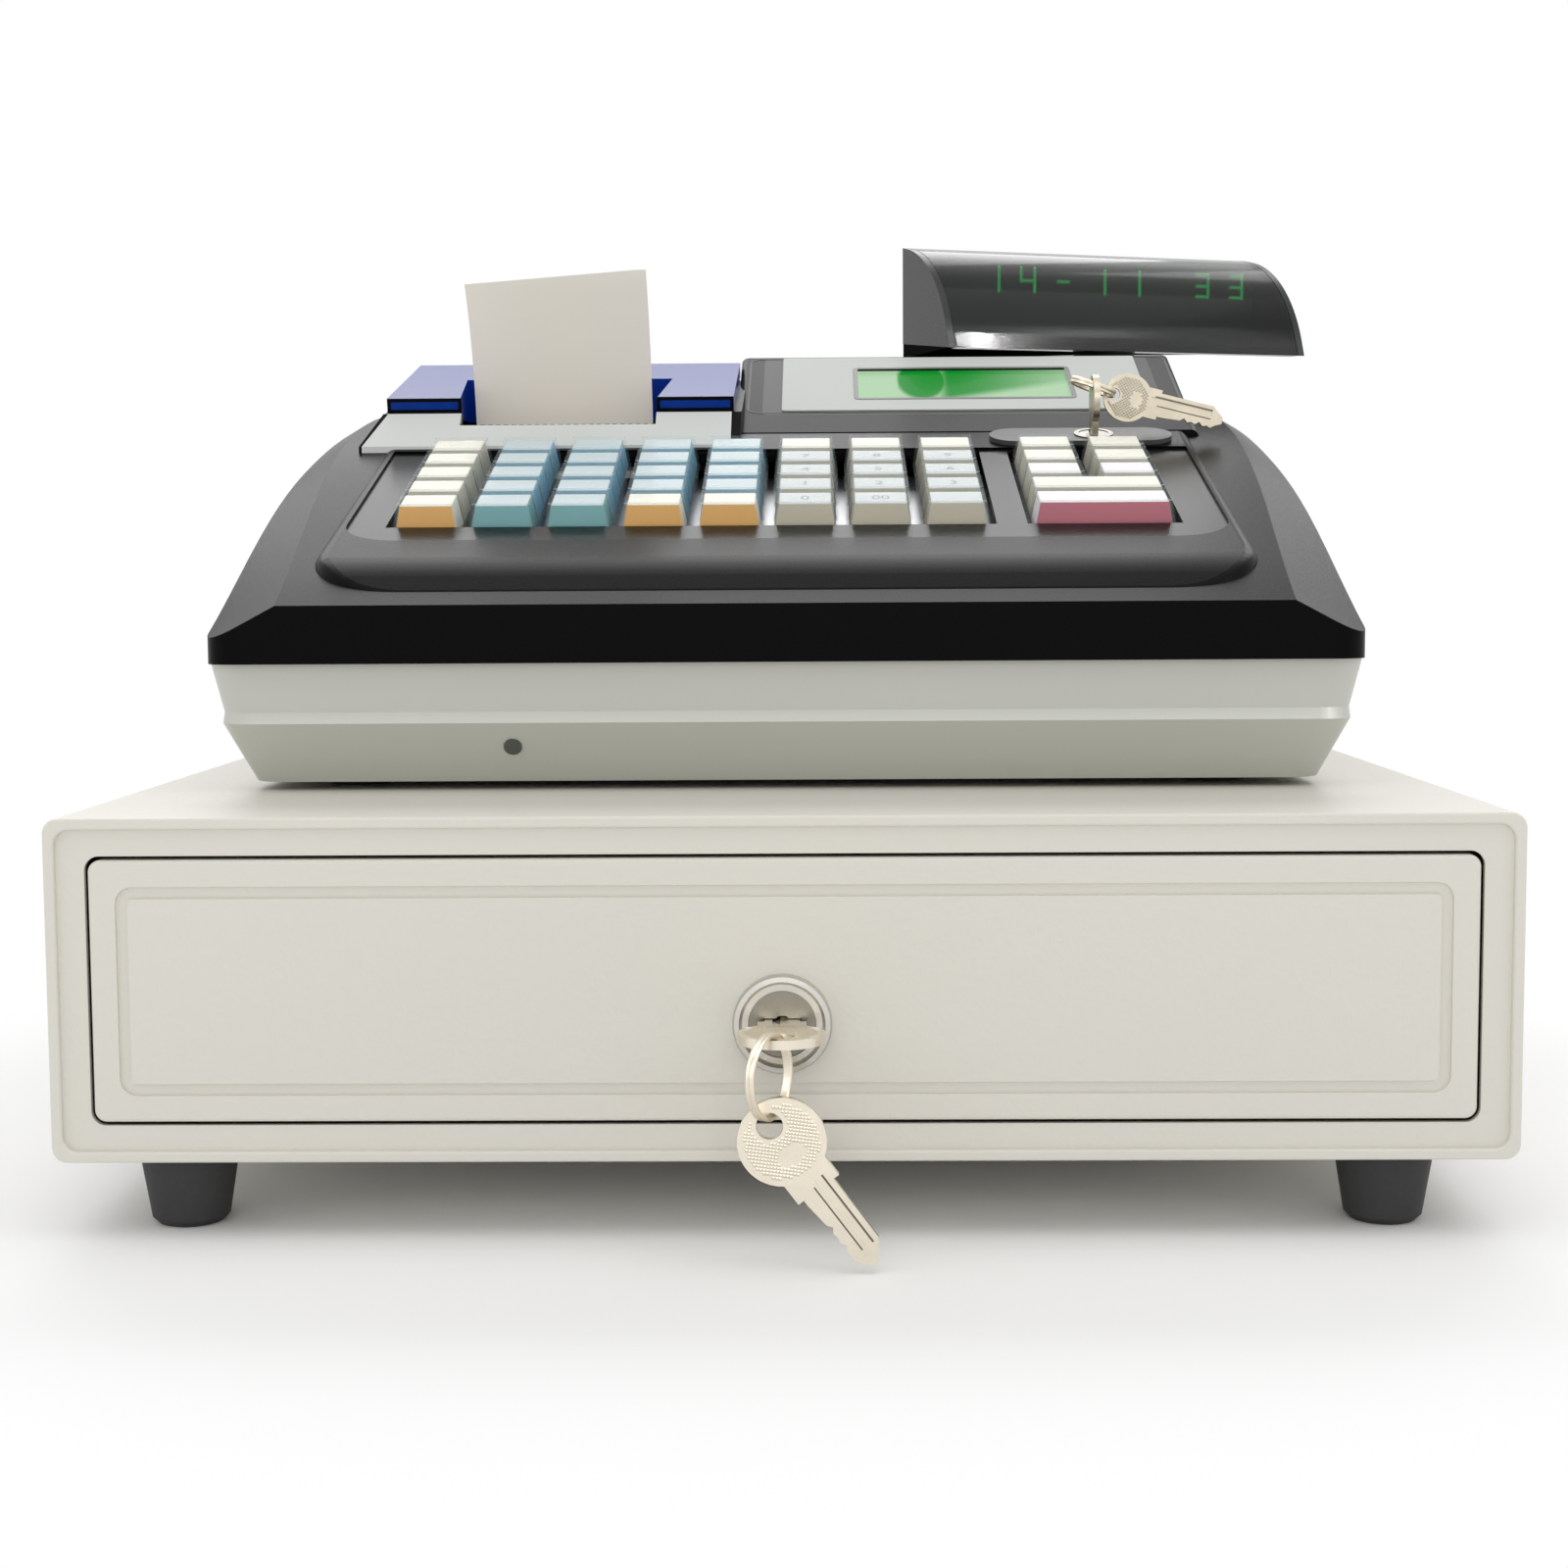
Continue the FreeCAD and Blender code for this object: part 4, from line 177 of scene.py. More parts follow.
class RegisterColours(bpy.types.PropertyGroup):
    """The colours that a user would change."""

    drawer: tint("Drawer paint", "DAD7CD", "Paint of the drawer's housing and front")
    base: tint("Base", "C2C3BB", "Silver-grey lower case")
    cover: tint("Cover", "080908", "Black upper case")
    lid: tint("Lid", "0B2F8C", "Blue lid of the printer")
    plate: tint("Plates", "D2D5D2", "Silver plates round the printer and the window")
    # the lit window's pale and deep green are spread as a painted reflection: pale where the glass mirrors the white
    # surroundings, deep green where it mirrors the display head
    display: tint("Display", "C3E6BE", "Lit window where it's pale")
    shade: tint("Display shade", "129A2F", "Lit window where it's deep green")
    digits: tint("Digits", "18C964", "Lit digits of the customer display")
    orange: tint("Orange keys", "F4B440", "Body of the orange keys")
    teal: tint("Teal keys", "6FB3B5", "Body of the teal keys")
    blue: tint("Blue keys", "6FB7D6", "Body of the blue keys")
    cream: tint("Cream keys", "DAD3BC", "Body of the cream keys")
    beige: tint("Beige keys", "CFC4AA", "Body of the beige keys")
    rose: tint("Rose keys", "C9576B", "Body of the rose keys")


def sizes():
    return bpy.context.scene.register_sizes


def colours():
    return bpy.context.scene.register_colours


# ---- shaping ----


def add_block(name, low, high):
    """A new block between two corners, the only thing selected."""
    bpy.ops.object.select_all(action="DESELECT")
    low, high = Vector(low), Vector(high)
    bpy.ops.mesh.primitive_cube_add(size=1.0, location=(low + high) / 2, scale=high - low)
    bpy.ops.object.transform_apply(location=True, rotation=True, scale=True)
    block = bpy.context.object
    block.name = name
    block.data.name = name
    return block


def choose(item, kind, test):
    """Selects the faces, edges or corners of an item in edit mode that pass a test."""
    bpy.ops.mesh.select_mode(type=kind)
    bpy.ops.mesh.select_all(action="DESELECT")
    shape = bmesh.from_edit_mesh(item.data)
    parts = {"VERT": shape.verts, "EDGE": shape.edges, "FACE": shape.faces}[kind]
    for part in parts:
        if test(part):
            part.select_set(True)
    shape.select_flush_mode()
    bmesh.update_edit_mesh(item.data)


def facing_up(face):
    return face.normal.z > UP


def facing_down(face):
    return face.normal.z < -UP


def resize(across, along, up=1.0):
    bpy.ops.transform.resize(value=(across, along, up), orient_type="GLOBAL")


def extrude(*shift):
    bpy.ops.mesh.extrude_region_move(TRANSFORM_OT_translate={"value": shift})


def inset(width):
    bpy.ops.mesh.inset(thickness=width, use_even_offset=True)


def leave_edit():
    """Turns every face outwards and leaves edit mode."""
    bpy.ops.mesh.select_all(action="SELECT")
    bpy.ops.mesh.normals_make_consistent(inside=False)
    bpy.ops.object.mode_set(mode="OBJECT")


def select_only(item):
    bpy.ops.object.select_all(action="DESELECT")
    item.select_set(True)
    bpy.context.view_layer.objects.active = item


def copy_of(source, name):
    """A copy with a mesh of its own."""
    select_only(source)
    bpy.ops.object.duplicate(linked=False)
    item = bpy.context.object
    item.name = name
    item.data.name = name
    return item


def lay(item, place):
    """Puts an item, drawn flat, in its place and applies it."""
    item.matrix_world = place
    select_only(item)
    bpy.ops.object.transform_apply(location=True, rotation=True, scale=True)
    return item


def remove(item):
    select_only(item)
    bpy.ops.object.delete()


def soften(item, degrees=PIECE_SMOOTH):
    select_only(item)
    bpy.ops.object.shade_smooth_by_angle(angle=math.radians(degrees))


def slope_place(back, high, slope):
    """The front edge of a slope, with y running up it."""
    return Matrix.Translation(Vector((0, back, high))) @ Matrix.Rotation(slope, 4, "X")


def head_place():
    """The left end of the customer display, with x along it."""
    given = sizes()
    spot = Vector((given.head_right, given.head_back, given.head_low))
    return Matrix.Translation(spot) @ Matrix.Rotation(given.head_turn, 4, "Z")


# ---- finishes ----


class Nodes:
    """Adds and joins the nodes of one material or group."""

    def __init__(self, tree):
        self.tree = tree

    def add(self, kind, settings=None, **inputs):
        node = self.tree.nodes.new("ShaderNode" + kind)
        for field, value in (settings or {}).items():
            setattr(node, field, value)
        for name, value in inputs.items():
            self.set(node, name.replace("_", " "), value)
        return node

    def set(self, node, name, value):
        socket = node.inputs[int(name)] if name.isdigit() else node.inputs[name]
        if isinstance(value, bpy.types.NodeSocket):
            self.tree.links.new(value, socket)
        else:
            socket.default_value = value


def join_values(nodes, kind, first, second):
    node = nodes.add("Math", {"operation": kind})
    nodes.set(node, "0", first)
    nodes.set(node, "1", second)
    return node.outputs[0]


def mix_colours(nodes, share, first, second):
    node = nodes.add("Mix", {"data_type": "RGBA"})
    for socket, value in ((0, share), (6, list(first) + [1]), (7, list(second) + [1])):
        nodes.set(node, str(socket), value)
    return node.outputs[2]


def mix_shaders(nodes, share, first, second):
    node = nodes.add("MixShader")
    for socket, value in enumerate((share, first, second)):
        nodes.set(node, str(socket), value)
    return node.outputs[0]


def reach_of(nodes, place):
    node = nodes.add("VectorMath", {"operation": "LENGTH"})
    nodes.set(node, "0", place)
    return node.outputs["Value"]


def smooth_step(nodes, value, low, high):
    return nodes.add("MapRange", {"interpolation_type": "SMOOTHSTEP"}, Value=value, From_Min=low,
                     From_Max=high).outputs["Result"]


def surface_group():
    """The shared look of moulded, cast and painted surfaces: grain, leather, blotches and their bumps."""
    tree = bpy.data.node_groups.new("worked surface", "ShaderNodeTree")
    face = tree.interface
    for name, value in (("Grain", 1500.0), ("Grain depth", 0.2), ("Leather", 400.0), ("Leather depth", 0.0),
                        ("Blotch", 12.0)):
        face.new_socket(name, in_out="INPUT", socket_type="NodeSocketFloat").default_value = value
    for name, kind in (("Grain", "Float"), ("Blotch", "Float"), ("Normal", "Vector")):
        face.new_socket(name, in_out="OUTPUT", socket_type="NodeSocket" + kind)
    nodes = Nodes(tree)
    given = tree.nodes.new("NodeGroupInput")
    place = nodes.add("TexCoord").outputs["Object"]
    grain = nodes.add("TexNoise", Vector=place, Scale=given.outputs["Grain"], Detail=3.0)
    leather = nodes.add("TexVoronoi", Vector=place, Scale=given.outputs["Leather"])
    blotch = nodes.add("TexNoise", Vector=place, Scale=given.outputs["Blotch"], Detail=4.0)
    low = nodes.add("Bump", Strength=given.outputs["Leather depth"], Distance=0.0002,
                    Height=leather.outputs["Distance"])
    high = nodes.add("Bump", Strength=given.outputs["Grain depth"], Distance=0.0001,
                     Height=grain.outputs["Fac"], Normal=low.outputs["Normal"])
    out = tree.nodes.new("NodeGroupOutput")
    for name, source in (("Grain", grain.outputs["Fac"]), ("Blotch", blotch.outputs["Fac"]),
                         ("Normal", high.outputs["Normal"])):
        tree.links.new(source, out.inputs[name])
    return tree


def finish(name, colour, rough=0.5, metal=0.0, vary=0.06, sheen=0.08, specular=0.5, plain=(), **surface):
    """A material with varied colour and roughness and a bump, from one colour."""
    material = bpy.data.materials.new("register " + name)
    material.use_nodes = True
    tree = material.node_tree
    tree.nodes.clear()
    nodes = Nodes(tree)
    group = tree.nodes.new("ShaderNodeGroup")
    group.node_tree = bpy.data.node_groups["worked surface"]
    for field, value in surface.items():
        group.inputs[field.replace("_", " ").capitalize()].default_value = value
    dark = [value * (1 - vary) for value in colour]
    pale = [min(1.0, value * (1 + vary)) for value in colour]
    mixed = mix_colours(nodes, group.outputs["Blotch"], dark, pale)
    dull = nodes.add("MapRange", Value=group.outputs["Grain"], To_Min=max(0.0, rough - sheen),
                     To_Max=min(1.0, rough + sheen))
    shader = nodes.add("BsdfPrincipled", Base_Color=mixed, Roughness=dull.outputs["Result"],
                       Metallic=metal, Normal=group.outputs["Normal"])
    for field, value in (("Specular IOR Level", specular),) + plain:
        shader.inputs[field].default_value = value
    out = nodes.add("OutputMaterial")
    tree.links.new(shader.outputs["BSDF"], out.inputs["Surface"])
    return material


def let_light_in(material):
    """Lets nine tenths of the lamps' light through a clear material, onto what it covers."""
    tree = material.node_tree
    nodes = Nodes(tree)
    shader = tree.nodes["Principled BSDF"]
    path = nodes.add("LightPath")
    clear = nodes.add("BsdfTransparent", Color=(0.9, 0.9, 0.9, 1))
    mixed = mix_shaders(nodes, path.outputs["Is Shadow Ray"], shader.outputs["BSDF"], clear.outputs["BSDF"])
    tree.links.new(mixed, tree.nodes["Material Output"].inputs["Surface"])


# the lit window's picture, a painted reflection of the white surroundings and of the dark display head: in metres to
# the right and to the back, each pair is where a fade starts and ends
PATCH_MIDDLE = (0.0367, 0.0895, 0.0)
PATCH_SIZE = (0.0088, 0.0185, 1000.0)
PATCH_FADE = (1.05, 0.8)
WEDGE_SLOPE = -0.4
WEDGE_LOW = (0.05, 0.058)
WEDGE_LEFT = (0.04, 0.046)
WEDGE_RIGHT = (0.108, 0.048)
SHADE_LEFT = (0.0282, 0.0292)


def window_field(nodes):
    """Where the lit window is pale, and where it's deep green: a round patch and a wedge fading to the right, laid out
    as a painted reflection of the dark display head.
    """
    place = nodes.add("TexCoord").outputs["Object"]
    parts = nodes.add("SeparateXYZ", Vector=place)
    patch = nodes.add("Mapping", {"vector_type": "TEXTURE"}, Vector=place, Location=PATCH_MIDDLE, Scale=PATCH_SIZE)
    inside = smooth_step(nodes, reach_of(nodes, patch.outputs["Vector"]), *PATCH_FADE)
    rise = join_values(nodes, "MULTIPLY", parts.outputs["X"], WEDGE_SLOPE)
    above = smooth_step(nodes, join_values(nodes, "ADD", parts.outputs["Y"], rise), *WEDGE_LOW)
    fading = smooth_step(nodes, parts.outputs["X"], *WEDGE_RIGHT)
    beside = smooth_step(nodes, parts.outputs["X"], *WEDGE_LEFT)
    wedge = join_values(nodes, "MULTIPLY", join_values(nodes, "MULTIPLY", above, beside), fading)
    deep = join_values(nodes, "MAXIMUM", inside, wedge)
    started = smooth_step(nodes, parts.outputs["X"], *SHADE_LEFT)
    return join_values(nodes, "SUBTRACT", 1.0, join_values(nodes, "MULTIPLY", deep, started))


# what lies under glass hardly shines itself
GLASSY = (("Coat Weight", 0.02), ("Coat Roughness", 0.03), ("Specular IOR Level", 0.01))


def glow_finish(name, colour, deep, strength, field=None):
    """A lit surface under glass: two tones of one colour, spread by a field or in soft blotches."""
    material = finish(name, [value * 0.1 for value in deep], rough=0.25, grain=900.0, grain_depth=0.02,
                      blotch=200.0, plain=GLASSY)
    tree = material.node_tree
    nodes = Nodes(tree)
    shader = tree.nodes["Principled BSDF"]
    share = field(nodes) if field else tree.nodes["Group"].outputs["Blotch"]
    tree.links.new(mix_colours(nodes, share, deep, colour), shader.inputs["Emission Color"])
    shader.inputs["Emission Strength"].default_value = strength
    return material


def make_finishes():
    """All the finishes, by the name of the record's slot or of the piece's colour."""
    surface_group()
    given = colours()
    paint = {"rough": 0.42, "vary": 0.03, "leather": 520.0, "grain": 1800.0, "grain_depth": 0.25, "blotch": 5.0}
    made = {
        "drawer_paint": finish("housing paint", given.drawer, leather_depth=0.32, **paint),
        "front_paint": finish("front paint", given.drawer, leather_depth=0.36, **paint),
        "black_rubber": finish("rubber", linear("323232"), 0.7, vary=0.15, grain=900.0, grain_depth=0.5),
        "zinc_steel": finish("zinc-plated steel", linear("B9BBBD"), 0.33, 1.0, vary=0.14, blotch=60.0, grain=2500.0,
            grain_depth=0.08),
        "nickel": finish("nickel plate", linear("E9E0CF"), 0.3, 1.0, vary=0.1, blotch=160.0, grain=3000.0,
            grain_depth=0.2),
        "knurl_nickel": finish("knurled nickel", linear("D8CFBD"), 0.34, 1.0, vary=0.1, blotch=160.0, grain=3000.0,
            grain_depth=0.2),
        # the keys up on the register take a darker copy of the nickel: painted shade
        "shaded_nickel": finish("nickel of the upper keys", linear("BDB4A2"), 0.34, 1.0, vary=0.18, blotch=220.0,
            grain=3000.0, grain_depth=0.3),
        "lock_steel": finish("lock steel", linear("C9C7C0"), 0.3, 1.0, vary=0.08, blotch=120.0, grain=2600.0,
            grain_depth=0.08),
        "black_tray": finish("tray plastic", linear("1E1F20"), 0.45, vary=0.1, grain=1400.0, grain_depth=0.3),
        "clip_plastic": finish("clip plastic", linear("26282A"), 0.35, vary=0.08, grain=1500.0, grain_depth=0.15),
        "base_silver": finish("silver case", given.base, 0.38, 0.2, vary=0.04, blotch=7.0, grain=3200.0,
            grain_depth=0.16),
        "cover_black": finish("black case", given.cover, 0.3, vary=0.12, blotch=9.0, grain=2400.0, grain_depth=0.25,
            specular=0.04),
        "gloss_black": finish("gloss plate", linear("101211"), 0.24, vary=0.1, sheen=0.04, grain=2400.0,
            grain_depth=0.1, specular=0.065),
        "silver_plate": finish("silver plate", given.plate, 0.42, vary=0.03, blotch=14.0, grain=3000.0,
            grain_depth=0.08, specular=0.12),
        "lens_red": finish("indicator lens", linear("3A3F3B"), 0.12, vary=0.1, sheen=0.04, grain=2000.0,
            grain_depth=0.03, plain=(("Coat Weight", 1.0), ("Coat Roughness", 0.03))),
        "board_green": finish("circuit board", linear("1F5A3A"), 0.4, vary=0.2, blotch=300.0, grain=1200.0,
            grain_depth=0.1),
        "coil_iron": finish("coil and core", linear("6B5A4B"), 0.5, 0.5, vary=0.15, blotch=80.0, grain=1800.0),
        # the receipt's faint glow is painted light, for the light that shines through the thin paper
        "paper_white": finish("receipt paper", linear("F3ECDF"), 0.8, vary=0.05, blotch=22.0, grain=2600.0,
            grain_depth=0.12, plain=(("Emission Color", linear("F3ECDF") + [1]), ("Emission Strength", 0.12))),
        "lid_blue": finish("blue lid", given.lid, 0.16, vary=0.12, sheen=0.04, blotch=30.0, grain=1500.0,
            grain_depth=0.05, specular=0.07),
        "tear_clear": finish("tear strip", linear("8B8778"), 0.2, vary=0.04, grain=1500.0, grain_depth=0.05,
            plain=(("Transmission Weight", 0.6), ("IOR", 1.46))),
        "plate_grey": finish("lock plate", linear("C6C6BC"), 0.35, vary=0.05, blotch=60.0, grain=2600.0,
            grain_depth=0.12),
        "smoked_window": finish("smoked window", linear("5A5D5A"), 0.12, vary=0.05, sheen=0.03, blotch=9.0,
            grain=800.0, grain_depth=0.01, specular=0.0,
            plain=(("Transmission Weight", 0.9), ("IOR", 1.2), ("Coat Weight", 0.04), ("Coat Roughness", 0.06))),
        "head_grey": finish("display shell", linear("2C2F2D"), 0.25, vary=0.08, blotch=12.0, grain=1800.0,
            grain_depth=0.06, specular=0.2),
        # the display's black made darker and unshining for its underside: painted shade under the display
        "under_grey": finish("display underside", linear("1C1E1D"), 0.8, vary=0.1, blotch=12.0, grain=1800.0,
            grain_depth=0.1, specular=0.0),
        # the lit window's two tones follow a painted reflection of the display head
        "display_green": glow_finish("lit window", given.display, given.shade, 0.74, window_field),
        "panel_glass": finish("window plate", linear("C4C7C4"), 0.35, vary=0.03, blotch=14.0, grain=3000.0,
            grain_depth=0.03, plain=GLASSY),
        "mode_grey": finish("lock switch plate", linear("4E504E"), 0.35, vary=0.05, blotch=60.0, grain=2600.0,
            grain_depth=0.1, specular=0.15),
        "plug_steel": finish("lock plug steel", linear("8F8C84"), 0.3, 1.0, vary=0.1, blotch=120.0, grain=2600.0,
            grain_depth=0.1),
        "bezel_dark": finish("window housing", linear("2B2D2B"), 0.3, vary=0.1, sheen=0.04, grain=2400.0,
            grain_depth=0.12, specular=0.06),
        # the blades' grooves: a darker, less metallic copy of the nickel, painted shade in the grooves
        "groove_dark": finish("key groove", linear("6B655A"), 0.45, 0.7, vary=0.12, blotch=200.0, grain=3000.0,
            grain_depth=0.1),
        "seam_black": finish("dark seam", linear("1B1D1C"), 0.5, vary=0.1, grain=2600.0, grain_depth=0.1),
        "frame_grey": finish("window frame", linear("4A4D4A"), 0.4, vary=0.08, grain=2600.0, grain_depth=0.1),
        "digits": glow_finish("lit digits", given.digits, linear("0E8F45"), 4.6),
        "cap_clear": finish("clear cap", linear("DCE9EC"), 0.12, vary=0.02, sheen=0.02, blotch=60.0, grain=1500.0,
            grain_depth=0.02, specular=0.3, plain=(("Alpha", 0.07),)),
        # the caps' rounded edges are paler and less clear: a painted highlight along the glassy edges
        "cap_edge": finish("clear cap edge", linear("C9D8DB"), 0.15, vary=0.03, sheen=0.03, blotch=60.0, grain=1500.0,
            grain_depth=0.02, plain=(("Alpha", 0.45),)),
        "print_grey": finish("number ink", linear("8C95A0"), 0.6, vary=0.1, grain=2000.0, grain_depth=0.1),
        "floor": finish("pale floor", (0.95, 0.95, 0.95), 0.9, vary=0.01, blotch=3.0, grain=300.0, grain_depth=0.0),
        "lid_edge": finish("lid edge", linear("06070C"), 0.3, vary=0.1, grain=1500.0, grain_depth=0.05, specular=0.05),
        "lid_face": finish("lid face", linear("07338A"), 0.2, vary=0.3, blotch=160.0, grain=1500.0, grain_depth=0.04,
            specular=0.08),
    }
    for name in ("tear_clear", "smoked_window"):
        let_light_in(made[name])
    for name in ("orange", "teal", "blue", "cream", "beige", "rose"):
        made["body_" + name] = finish(name + " key body", getattr(given, name), 0.42, vary=0.05, blotch=60.0,
                                      grain=2200.0, grain_depth=0.1)
    for name, code in (("cream", "F8F3E4"), ("blue", "CDDADD"), ("white", "D2D6D5"), ("pink", "F8F1F3")):
        made["label_" + name] = finish(name + " key label", linear(code), 0.6, vary=0.02, blotch=90.0,
                                       grain=2600.0, grain_depth=0.06)
    return made


FINISHES = {}
# the parts that look unlike the rest of their slot
FINISH_OF_NODE = {
    "display_panel": "panel_glass", "display_bezel": "bezel_dark", "mode_plate": "mode_grey",
    "mode_lock": "plug_steel", "mode_plug": "plug_steel", "lock_plug": "plug_steel",
    # the two upper keys take the darker nickel, painted shade
    "mode_key": "shaded_nickel", "spare_key": "shaded_nickel",
}


def dress(item, *names):
    """Gives an item its finishes, in the order of its faces' numbers."""
    numbers = [face.material_index for face in item.data.polygons]
    item.data.materials.clear()
    for name in names:
        item.data.materials.append(FINISHES[name])
    item.data.polygons.foreach_set("material_index", numbers)
    return item


class REGISTER_OT_finishes(bpy.types.Operator):
    """Makes the finishes and gives them to the parts of the frame"""

    bl_idname = "register.finishes"
    bl_label = "Finishes"

    def execute(self, context):
        FINISHES.update(make_finishes())
        for name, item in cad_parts.items():
            for socket in item.material_slots:
                chosen = FINISH_OF_NODE.get(name, socket.material.name)
                if chosen in FINISHES:
                    socket.material = FINISHES[chosen]
            soften(item, PART_SMOOTH)
        return {"FINISHED"}


# ---- keys ----

# a label's rim, the body's rounding, room in the cap and rise over its foot, and a number's size, thickness and room
LABEL_RIM = 0.35 * MM
BODY_EDGE = 0.2 * MM
BODY_PLAY = 0.1 * MM
BODY_RISE = 0.3 * MM
NUMBER_SIZE = 5.2 * MM
NUMBER_THICK = 0.015 * MM
NUMBER_PLAY = 0.08 * MM


def key_block(name, wider, margin, low, high):
    """A block tapered as a key is, smaller by a margin all round."""
    given = sizes()
    wide, long = given.key_foot_width + wider - margin * 2, given.key_foot_length - margin * 2
    top_wide, top_long = given.key_top_width + wider - margin * 2, given.key_top_length - margin * 2
    block = add_block(name, (-wide / 2, -long / 2, low), (wide / 2, long / 2, high))
    bpy.ops.object.mode_set(mode="EDIT")
    choose(block, "FACE", facing_up)
    resize(top_wide / wide, top_long / long)
    bpy.ops.transform.translate(value=(0, given.key_top_back, 0))
    return block


def top_edge(edge):
    """The edges round the top and up the corners."""
    return max(corner.co.z for corner in edge.verts) > 0


def key_cap(name, wider):
    """A clear cap: a tapered block with rounded edges, hollowed from below."""
    given = sizes()
    cap = key_block(name, wider, 0.0, given.key_low, given.key_high)
    choose(cap, "EDGE", top_edge)
    bpy.ops.mesh.bevel(offset=given.cap_edge, segments=2, profile=0.5, affect="EDGES")
    choose(cap, "FACE", facing_down)
    inset(given.cap_wall)
    extrude(0, given.key_top_back, given.key_high - given.key_low - given.cap_wall)
    wide, long = given.key_foot_width + wider, given.key_foot_length
    wall = given.cap_wall * 2
    narrow = (given.key_top_width + wider - wall) / (wide - wall)
    short = (given.key_top_length - wall) / (long - wall)
    resize(narrow, short)
    leave_edit()
    # the rounded edges take the paler, less clear finish, a painted highlight
    for face in cap.data.polygons:
        face.material_index = 0 if max(abs(part) for part in face.normal) > UP else 1
    soften(cap)
    return cap


def key_body(name, wider):
    """A coloured body in the cap, with a paper label on top and a square stem below."""
    given = sizes()
    wall = given.cap_wall + BODY_PLAY
    body = key_block(name, wider, wall, given.key_low + BODY_RISE, given.key_high - wall)
    choose(body, "EDGE", top_edge)
    bpy.ops.mesh.bevel(offset=BODY_EDGE, segments=1, affect="EDGES")
    choose(body, "FACE", facing_down)
    inset(wall)
    span = given.key_foot_width + wider - wall * 4, given.key_foot_length - wall * 4
    resize(given.stem_half * 2 / span[0], given.stem_half * 2 / span[1])
    extrude(0, 0, given.stem_low - given.key_low)
    choose(body, "FACE", facing_up)
    inset(LABEL_RIM)
    leave_edit()
    for face in body.data.polygons:
        if face.normal.z > STEEP and face.center.z > 0:
            face.material_index = 1
        if abs(face.normal.x) > SIDE and face.center.z > given.key_low:
            face.material_index = 2
    return body


def key_number(text, place):
    """A number printed on a key's label."""
    bpy.ops.object.select_all(action="DESELECT")
    bpy.ops.object.text_add()
    item = bpy.context.object
    item.data.body = text
    item.data.size = NUMBER_SIZE
    item.data.extrude = NUMBER_THICK
    item.data.align_x = "CENTER"
    item.data.align_y = "CENTER"
    bpy.ops.object.convert(target="MESH")
    item = bpy.context.object
    item.name = "key_number_" + text
    return lay(item, place)


class REGISTER_OT_keys(bpy.types.Operator):
    """Models the keys with their clear caps, coloured bodies and labels"""

    bl_idname = "register.keys"
    bl_label = "Keys"

    def execute(self, context):
        given = sizes()
        deck = slope_place(given.deck_back, given.deck_high, given.deck_slope)
        models = {}
        for wider in (0.0, given.column_step):
            models[wider] = (key_cap("cap model", wider), key_body("body model", wider))
        for column in range(1, COLUMN_COUNT + 3):
            if column <= COLUMN_COUNT:
                right = given.first_column + given.column_step * (column - 1)
                rows = range(ROW_COUNT)
            else:
                right = given.right_block + given.column_step * (column - COLUMN_COUNT - 1.5)
                rows = UPPER_ROWS
            for row in rows:
                colour, label = BODY_COLOURS[column][row], LABEL_COLOURS[column][row]
                self.place_key(models[0.0], deck, "key_%d_%d" % (column, row + 1), "key_column_%d" % column, right,
                               row, colour, label)
                if (column, row) in KEY_NUMBERS:
                    self.print_number(deck, column, row, right)
        wide = models[given.column_step]
        self.place_key(wide, deck, "key_wide_1", "wide_key_1", given.right_block, 0, "rose", "pink")
        self.place_key(wide, deck, "key_wide_2", "wide_key_2", given.right_block, 1, "cream", "cream")
        for pair in models.values():
            for item in pair:
                remove(item)
        return {"FINISHED"}

    def place_key(self, pair, deck, name, node, right, row, colour, label):
        given = sizes()
        place = deck @ Matrix.Translation(Vector((right, given.first_row + given.row_step * row, 0)))
        cap = lay(copy_of(pair[0], name + "_cap"), place)
        body = lay(copy_of(pair[1], name + "_body"), place)
        dress(cap, "cap_clear", "cap_edge")
        side = "label_" + label if colour in PALE_SIDED else "body_" + colour
        dress(body, "body_" + colour, "label_" + label, side)
        for item in (cap, body):
            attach(item, "press_" + node)
        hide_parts(node)

    def print_number(self, deck, column, row, right):
        given = sizes()
        high = given.key_high - given.cap_wall - NUMBER_PLAY
        spot = Vector((right, given.first_row + given.row_step * row + given.key_top_back, high))
        item = key_number(KEY_NUMBERS[(column, row)], deck @ Matrix.Translation(spot))
        dress(item, "print_grey")
        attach(item, "press_key_column_%d" % column)


# ---- digits, display floor, receipt, lid faces, key bows, window ----

BAR_THICK = 0.45 * MM
# the length of a bar's tip and the height of its end, as shares of the bar's thickness
BAR_TIP = 0.8
BAR_POINT = 0.2
FLOOR_PLAY = 0.1 * MM
PAPER_SPARE = 0.05 * MM
# the lid's wings: name and ends, and the depths of their faces, rims and dents
LID_WINGS = (("left", -131.8 * MM, -108.5 * MM), ("right", -47.7 * MM, -23.7 * MM))
WING_FRONT = -0.3 * MM
WING_BACK = -0.02 * MM
WING_RIM = 1.1 * MM
WING_DENT = 0.15 * MM
# name, two corners in millimetres, width, rounding of the corners and finish
WINDOW_FRAMES = (
    ("window_frame", (14.2, 29.7, 0.36), (86.2, 62.3, 0.55), 1.5, 2.0, "frame_grey"),
    ("window_seam", (-20.2, 18.0, -0.05), (119.4, 73.6, 0.09), 0.55, 4.0, "seam_black"),
)
KNURL_STEP = 0.75 * MM
KNURL_HIGH = 0.12 * MM
KNURL_TURN = math.radians(45)
